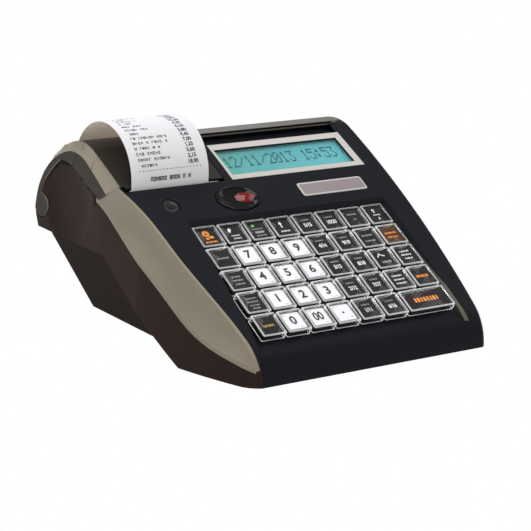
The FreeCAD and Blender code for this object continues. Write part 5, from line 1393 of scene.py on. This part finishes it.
class Refiner:
    """Rebuilds the coarse curved faces of a CAD part on the exact arcs of the case's side profile.

    Lengths are in millimetres. A face stands for an arc where its corners lie on the exact surface and it
    faces outwards. Right of EDGE_X the surface rounds over into the right side with a radius of EDGE_ROUND.
    """

    EXACT = 0.03
    FACING = 0.4
    SIDE = 0.98
    STEP = 4.0
    LAYER = "arc"
    EDGE_X = 99.0
    EDGE_ROUND = 5.0

    def __init__(self, node: bpy.types.Object, material: bpy.types.Material) -> None:
        """Note the CAD part to refine and its finish."""
        self.node = node
        self.material = material

    def offset(self, arc: Arc, place: Vector) -> float | None:
        """How far a vertex lies off the exact surface of an arc, or None if the arc doesn't hold it.

        Args:
            arc: Arc that the surface follows.
            place: Place in millimetres.

        Returns:
            The distance, inside positive, or None.
        """
        flat = Vector((place.y, place.z))
        if not arc.holds(flat):
            return None
        depth = arc.depth(flat)
        if place.x <= self.EDGE_X:
            return depth
        return self.EDGE_ROUND - math.hypot(depth - self.EDGE_ROUND, place.x - self.EDGE_X)

    def snap(self, arc: Arc, place: Vector) -> Vector:
        """The nearest place on the exact surface.

        Args:
            arc: Arc that the surface follows.
            place: Place in millimetres.

        Returns:
            The place on the surface.
        """
        flat = Vector((place.y, place.z))
        middle = arc.middle()
        ray = (flat - middle).normalized()
        depth = arc.depth(flat)
        if place.x <= self.EDGE_X or depth > self.EDGE_ROUND:
            x, depth = place.x, 0.0
        else:
            way = Vector((place.x - self.EDGE_X, depth - self.EDGE_ROUND)).normalized() * self.EDGE_ROUND
            x, depth = self.EDGE_X + way.x, self.EDGE_ROUND + way.y
        spot = middle + ray * (arc.radius - depth)
        return Vector((x, spot.x, spot.y))

    def build(self, name: str, body: str) -> bpy.types.Object:
        """Make the refined copy.

        Args:
            name: Name of the new piece.
            body: CAD body that carries it.

        Returns:
            The piece that stands for the CAD node.
        """
        piece = Piece(name)
        piece.mesh.from_mesh(self.node.data)
        bmesh.ops.scale(piece.mesh, vec=(1000.0, 1000.0, 1000.0), verts=piece.mesh.verts)
        bmesh.ops.remove_doubles(piece.mesh, verts=piece.mesh.verts, dist=0.002)
        layer = piece.mesh.faces.layers.int.new(self.LAYER)
        for count, arc in enumerate(SIDE_ARCS, start=1):
            self.refine(piece.mesh, arc, count, layer)
        self.shape(piece.mesh)
        many = [face for face in piece.mesh.faces if len(face.verts) > 4]
        bmesh.ops.triangulate(piece.mesh, faces=many)
        piece.paint(piece.mesh.faces, self.material)
        piece.place(Matrix.Scale(MM, 4))
        item = piece.build(body, self.node.name, smooth=24)
        self.shade(item.data)
        return item

    def shape(self, mesh: bmesh.types.BMesh) -> None:
        """Change the refined mesh further; a plain moulding stays as it is."""

    def shading(self, arc: Arc, place: Vector) -> Vector:
        """Outward direction that a corner of a refined face is shaded with."""
        return self.normal(arc, place)

    def shade(self, data: bpy.types.Mesh) -> None:
        """Give the corners of the refined faces the exact surface's own normals.

        Args:
            data: Mesh to work on.
        """
        numbers = data.attributes[self.LAYER].data
        normals = [Vector((0, 0, 0))] * len(data.loops)
        for face in data.polygons:
            number = numbers[face.index].value
            if number:
                arc = SIDE_ARCS[number - 1]
                for loop in face.loop_indices:
                    normals[loop] = self.shading(arc, data.vertices[data.loops[loop].vertex_index].co / MM)
        data.normals_split_custom_set(normals)

    def normal(self, arc: Arc, place: Vector) -> Vector:
        """Outward direction of the exact surface at a place on it.

        Args:
            arc: Arc that the surface follows.
            place: Place in millimetres.

        Returns:
            Direction of unit length.
        """
        flat = Vector((place.y, place.z))
        ray = (flat - arc.middle()).normalized()
        depth = arc.depth(flat)
        if place.x <= self.EDGE_X or depth > self.EDGE_ROUND:
            return Vector((0, ray.x, ray.y))
        way = Vector((place.x - self.EDGE_X, self.EDGE_ROUND - depth)).normalized()
        return Vector((way.x, ray.x * way.y, ray.y * way.y))

    def refine(self, mesh: bmesh.types.BMesh, arc: Arc, number: int, layer: bmesh.types.BMLayerItem) -> None:
        """Slice the faces that stand for one arc across it and move the new corners onto it.

        Args:
            mesh: Mesh in millimetres.
            arc: Arc that the surface follows.
            number: Number that marks the arc's faces.
            layer: Layer that holds the numbers.
        """
        exact = set()
        for vertex in mesh.verts:
            off = self.offset(arc, vertex.co)
            if off is not None and abs(off) < self.EXACT:
                exact.add(vertex)
        middle = arc.middle()
        faces = []
        for face in mesh.faces:
            if not face[layer] and all(vertex in exact for vertex in face.verts):
                along = self.normal(arc, face.calc_center_median())
                if abs(face.normal.x) < self.SIDE and face.normal.dot(along) > self.FACING:
                    face[layer] = number
                    faces.append(face)
        before = set(mesh.verts)
        for direction in arc.directions(self.STEP):
            faces = [face for face in faces if face.is_valid]
            edges = {edge for face in faces for edge in face.edges}
            corners = {vertex for face in faces for vertex in face.verts}
            normal = Vector((0, direction.x, direction.y))
            made = bmesh.ops.bisect_plane(mesh, geom=list(corners) + list(edges) + faces, dist=0.0005,
                                          plane_co=(0, middle.x, middle.y), plane_no=normal)
            faces = [item for item in made["geom"] if isinstance(item, bmesh.types.BMFace)]
        for vertex in mesh.verts:
            if vertex not in before and arc.holds(Vector((vertex.co.y, vertex.co.z))):
                vertex.co = self.snap(arc, vertex.co)


class RimRefiner(Refiner):
    """The lid's rim, whose outer edge leans inwards as the band below it does."""

    FACE_X = -104.0
    THICK = 2.7
    SEAM_Y = 11.5
    SEAM_TURN = 35.0
    SEAM_WAY = Vector((0.85, -0.52))
    # How far the outer edge leans in, as (y, distance) from the front end of the rim to its back.
    LEANS = ((11.5, 12.0), (58.0, 7.5), (104.0, 0.0))

    def shape(self, mesh: bmesh.types.BMesh) -> None:
        """Move the outer edge of the rim's side inwards.

        Args:
            mesh: Mesh in millimetres.
        """
        side = [face for face in mesh.faces if all(abs(vertex.co.x - self.FACE_X) < 0.05 for vertex in face.verts)]
        whole = bmesh.ops.dissolve_faces(mesh, faces=side, use_verts=False)["region"]
        for vertex in {vertex for face in whole for vertex in face.verts}:
            flat = Vector((vertex.co.y, vertex.co.z))
            arc = next((arc for arc in SIDE_ARCS if arc.holds(flat) and abs(arc.depth(flat)) < self.EXACT), None)
            if arc is None:
                continue
            inward = (arc.middle() - flat).normalized()
            share = min(1.0, (flat.x - self.SEAM_Y) / (self.SEAM_TURN - self.SEAM_Y))
            way = self.SEAM_WAY.lerp(inward, max(0.0, share))
            vertex.co.yz = flat + way * (self.lean(flat.x) / way.dot(inward))

    def shading(self, arc: Arc, place: Vector) -> Vector:
        """Outward direction of the leaning face, or of the exact surface where it doesn't lean."""
        ray = (Vector((place.y, place.z)) - arc.middle()).normalized() * self.THICK
        return Vector((-self.lean(place.y), ray.x, ray.y)).normalized()

    def lean(self, y: float) -> float:
        """How far the outer edge moves inwards at a place along the rim.

        Args:
            y: Place along the rim, from front to back.

        Returns:
            The distance.
        """
        for (start, first), (end, last) in zip(self.LEANS, self.LEANS[1:]):
            if y <= end:
                return first + (last - first) * max(0.0, (y - start) / (end - start))
        return 0.0


@dataclass(frozen=True)
class Shells:
    """The visible mouldings with their curved faces refined; where the trim changes its finish and where painted
    shade goes, in millimetres.
    """

    hood_left: float = DISPLAY.origin[0] - 7
    hood_front: float = 49.0
    flank_left: float = 80.0
    flank_back: float = DISPLAY.origin[1] - 5
    # Faces of the rim that look more sideways than this get painted shade.
    sideways: float = 0.9995
    PARTS = {
        "upper_case": ("case", "textured_black_abs"), "side_panel": ("case", "textured_brown_abs"),
        "case_trim": ("case", "satin_taupe_abs"), "lid_shell": ("lid", "satin_black_abs"),
        "lid_trim": ("lid", "painted_light_taupe_abs"),
    }

    def build(self, nodes: dict[str, bpy.types.Object], finishes: Finishes) -> list[bpy.types.Object]:
        """Make every refined moulding: the trim darker round the display and black there as painted shade in the
        hood's recess, the rim's side with painted shade.

        Args:
            nodes: CAD parts by name.
            finishes: Materials of the register.

        Returns:
            The new mouldings.
        """
        made = {}
        for node, (body, finish) in self.PARTS.items():
            kind = RimRefiner if node == "lid_trim" else Refiner
            made[node] = kind(nodes[node], finishes[finish]).build(f"skin_{node}", body)
        trim = made["case_trim"].data
        for finish in ("satin_darker_taupe_abs", "textured_black_abs", "satin_olive_abs"):
            trim.materials.append(finishes[finish])
        for face in trim.polygons:
            x, y, _ = face.center / MM
            if x > self.flank_left and y < self.flank_back:
                face.material_index = 3
            # Round the display the trim's walls take the black case finish as painted shade in the hood's recess; the
            # strip behind takes the darker satin.
            elif x > self.hood_left and y > self.flank_back:
                face.material_index = 1 if y > self.hood_front else 2
        rim = made["lid_trim"].data
        rim.materials.append(finishes["painted_shade_taupe_abs"])
        for face in rim.polygons:
            # Faces that look straight sideways take the darker copy: painted shade on the rim's side.
            if face.normal.x < -self.sideways:
                face.material_index = 1
        return list(made.values())


class CadFinish:
    """Finishes for the CAD parts that are shown as they are."""

    # Left, front, width and length of the display's window in its plane.
    WINDOW = (3.0, 4.7, 100.0, 25.5)
    BOARD_TOP = 13.61
    SOCKET_REACH = 10.4
    BY_NODE = {
        "bottom_case": "eroded_brown_abs",
        "upper_case": "textured_black_abs",
        "side_panel": "textured_brown_abs",
        "case_trim": "satin_taupe_abs",
        "display_bezel": "painted_silver_abs",
        "display_windows": "clear_acrylic_sheet",
        "lcd_modules": "unlit_lcd_glass",
        "circuit_boards": "masked_green_laminate",
        "printer_frame": "moulded_grey_nylon",
        "drive_motor": "drawn_steel_can",
        "tear_bar": "ground_steel_strip",
        "rubber_feet": "moulded_black_rubber",
        "screws_and_pins": "turned_zinc_steel",
        "lid_shell": "satin_black_abs",
        "lid_trim": "painted_light_taupe_abs",
        "receipt_strip": "coated_thermal_paper",
        "lid_button": "moulded_black_nylon",
        "platen_roller": "ground_black_rubber",
        "reduction_gear": "moulded_white_acetal",
        "motor_pinion": "hobbed_brass",
        "paper_roll": "coated_thermal_paper",
    }

    def __init__(self, nodes: dict[str, bpy.types.Object], finishes: Finishes) -> None:
        """Note the CAD parts and the materials."""
        self.nodes = nodes
        self.finishes = finishes

    def apply(self) -> None:
        """Give each CAD part its finish and shade its curved faces smooth."""
        for name, node in self.nodes.items():
            finish = self.BY_NODE.get(name, "polished_black_abs")
            node.data.materials.clear()
            node.data.materials.append(self.finishes[finish])
            for face in node.data.polygons:
                face.material_index = 0
            node.data.shade_smooth()
            node.data.set_sharp_from_angle(angle=math.radians(24))
        self.darken_window(self.nodes["display_bezel"].data)
        self.dress_sockets(self.nodes["circuit_boards"].data)
        log.info("finished %d CAD parts", len(self.nodes))

    def dress_sockets(self, data: bpy.types.Mesh) -> None:
        """Give the sockets on the main board their housings' own finishes.

        Args:
            data: Mesh to work on.
        """
        rear = RearSockets()
        for number, socket in enumerate(rear.sockets, start=1):
            data.materials.append(self.finishes[socket.shell])
            for face in data.polygons:
                x, y, z = face.center / MM
                outer = y > rear.front - rear.depth - 2 and z > self.BOARD_TOP
                if outer and abs(x - socket.middle) < self.SOCKET_REACH:
                    face.material_index = number

    def darken_window(self, data: bpy.types.Mesh) -> None:
        """Paint the walls of the display's window black, as painted shade inside the recess.

        Args:
            data: Mesh to work on.
        """
        # The window's walls go black as painted shade.
        data.materials.append(self.finishes["painted_shade_matt_abs"])
        flatten = DISPLAY.matrix().inverted()
        up = DISPLAY.matrix().to_3x3().col[2].normalized()
        for face in data.polygons:
            across, along, _ = flatten @ face.center
            left, front, width, length = self.WINDOW
            inside = -0.5 < across - left < width and -0.5 < along - front < length
            if inside and abs(face.normal.dot(up)) < 0.5:
                face.material_index = 1


@dataclass(frozen=True)
class Eye:
    """The photo's camera: where it stood and how it was turned."""

    place: Point = (-0.7828, -1.0402, 0.4099)
    right: Point = (0.8053, -0.5902, 0.0554)
    up: Point = (0.1182, 0.2515, 0.9606)
    back: Point = (-0.5809, -0.7671, 0.2723)
    lens: float = 142.4

    def build(self) -> bpy.types.Object:
        """Add the camera to the scene.

        Returns:
            The camera.
        """
        data = bpy.data.cameras.new("camera")
        data.lens = self.lens
        data.sensor_width = 36.0
        data.clip_start = 0.05
        item = bpy.data.objects.new("camera", data)
        turn = Matrix((self.right, self.up, self.back)).transposed()
        item.matrix_world = Matrix.Translation(self.place) @ turn.to_4x4()
        bpy.context.scene.collection.objects.link(item)
        bpy.context.scene.camera = item
        return item


@dataclass(frozen=True)
class Softbox:
    """One soft studio light."""

    name: str
    place: Point
    aim: Point
    size: Flat
    watts: float
    colour: str = "#ffffff"

    def build(self) -> bpy.types.Object:
        """Add the light to the scene.

        Returns:
            The light.
        """
        data = bpy.data.lights.new(self.name, "AREA")
        data.shape = "RECTANGLE"
        data.size, data.size_y = self.size
        data.energy = self.watts
        data.color = linear(self.colour)[:3]
        item = bpy.data.objects.new(self.name, data)
        item.location = self.place
        item.rotation_euler = (Vector(self.aim) - Vector(self.place)).to_track_quat("-Z", "Y").to_euler()
        bpy.context.scene.collection.objects.link(item)
        return item


@dataclass(frozen=True)
class Studio:
    """A white floor that runs out of sight, soft lights and the view settings, in metres and watts."""

    fill: float = 0.3
    floor_half: float = 6.0
    floor_shade: float = 0.9
    LIGHTS = (
        Softbox("key_light", (-0.05, -0.35, 1.3), (0.0, 0.0, 0.06), (1.4, 1.1), 15.0, "#fffaf4"),
        Softbox("rear_light", (0.05, 0.9, 0.95), (0.0, 0.0, 0.08), (1.6, 0.9), 9.0, "#f4f8ff"),
        Softbox("left_light", (-1.1, 0.3, 0.7), (0.0, 0.0, 0.06), (0.8, 0.8), 2.0),
        Softbox("right_light", (1.1, -0.3, 0.7), (0.0, 0.0, 0.06), (0.8, 0.8), 2.5),
    )

    @staticmethod
    def seen(tree: bpy.types.NodeTree) -> bpy.types.NodeSocket:
        """Socket that is one where the backdrop is seen, mirrored or looked at through something clear.

        Args:
            tree: Node tree that it is added to.

        Returns:
            The socket.
        """
        rays = tree.nodes.new("ShaderNodeLightPath")
        total = rays.outputs["Is Camera Ray"]
        for kind in ("Is Glossy Ray", "Is Transmission Ray"):
            either = tree.nodes.new("ShaderNodeMath")
            either.operation = "MAXIMUM"
            tree.links.new(total, either.inputs[0])
            tree.links.new(rays.outputs[kind], either.inputs[1])
            total = either.outputs[0]
        return total

    def build(self) -> None:
        """Add floor, lights, world and view settings."""
        mesh = bpy.data.meshes.new("floor")
        plane = bmesh.new()
        bmesh.ops.create_grid(plane, x_segments=1, y_segments=1, size=self.floor_half)
        plane.to_mesh(mesh)
        plane.free()
        floor = bpy.data.objects.new("floor", mesh)
        bpy.context.scene.collection.objects.link(floor)
        tree = Tree("floor_white")
        diffuse = tree.add("ShaderNodeBsdfDiffuse", Color=(*[self.floor_shade] * 3, 1.0))
        white = tree.add("ShaderNodeEmission", Color=(1.0, 1.0, 1.0, 1.0), Strength=1.0)
        seen = self.seen(tree.material.node_tree)
        mesh.materials.append(tree.finish(tree.add("ShaderNodeMixShader", i0=seen,
                                                   i1=diffuse.outputs[0], i2=white.outputs[0])))
        for light in self.LIGHTS:
            light.build()
        world = bpy.data.worlds.new("room")
        world.use_nodes = True
        backdrop = world.node_tree.nodes["Background"]
        backdrop.inputs["Color"].default_value = (1.0, 1.0, 1.0, 1.0)
        level = world.node_tree.nodes.new("ShaderNodeMapRange")
        level.inputs["To Min"].default_value = self.fill
        view = world.node_tree.nodes.new("ShaderNodeLightPath").outputs["Is Camera Ray"]
        world.node_tree.links.new(view, level.inputs["Value"])
        world.node_tree.links.new(level.outputs["Result"], backdrop.inputs["Strength"])
        bpy.context.scene.world = world
        bpy.context.scene.view_settings.view_transform = "Standard"
        log.info("studio with %d lights", len(self.LIGHTS))


def main() -> None:
    """Build the looks of the register."""
    finishes = Finishes()
    CadFinish(frame["nodes"], finishes).apply()
    Shells().build(frame["nodes"], finishes)
    KeyField(finishes).build()
    Receipt().build(finishes)
    DisplayFace().build(finishes)
    CUSTOMER_FACE.build(finishes)
    RearSockets().build(finishes)
    LidButton().build(finishes)
    TopFittings().build(finishes)
    Eye().build()
    Studio().build()


if __name__ == "__main__":
    main()
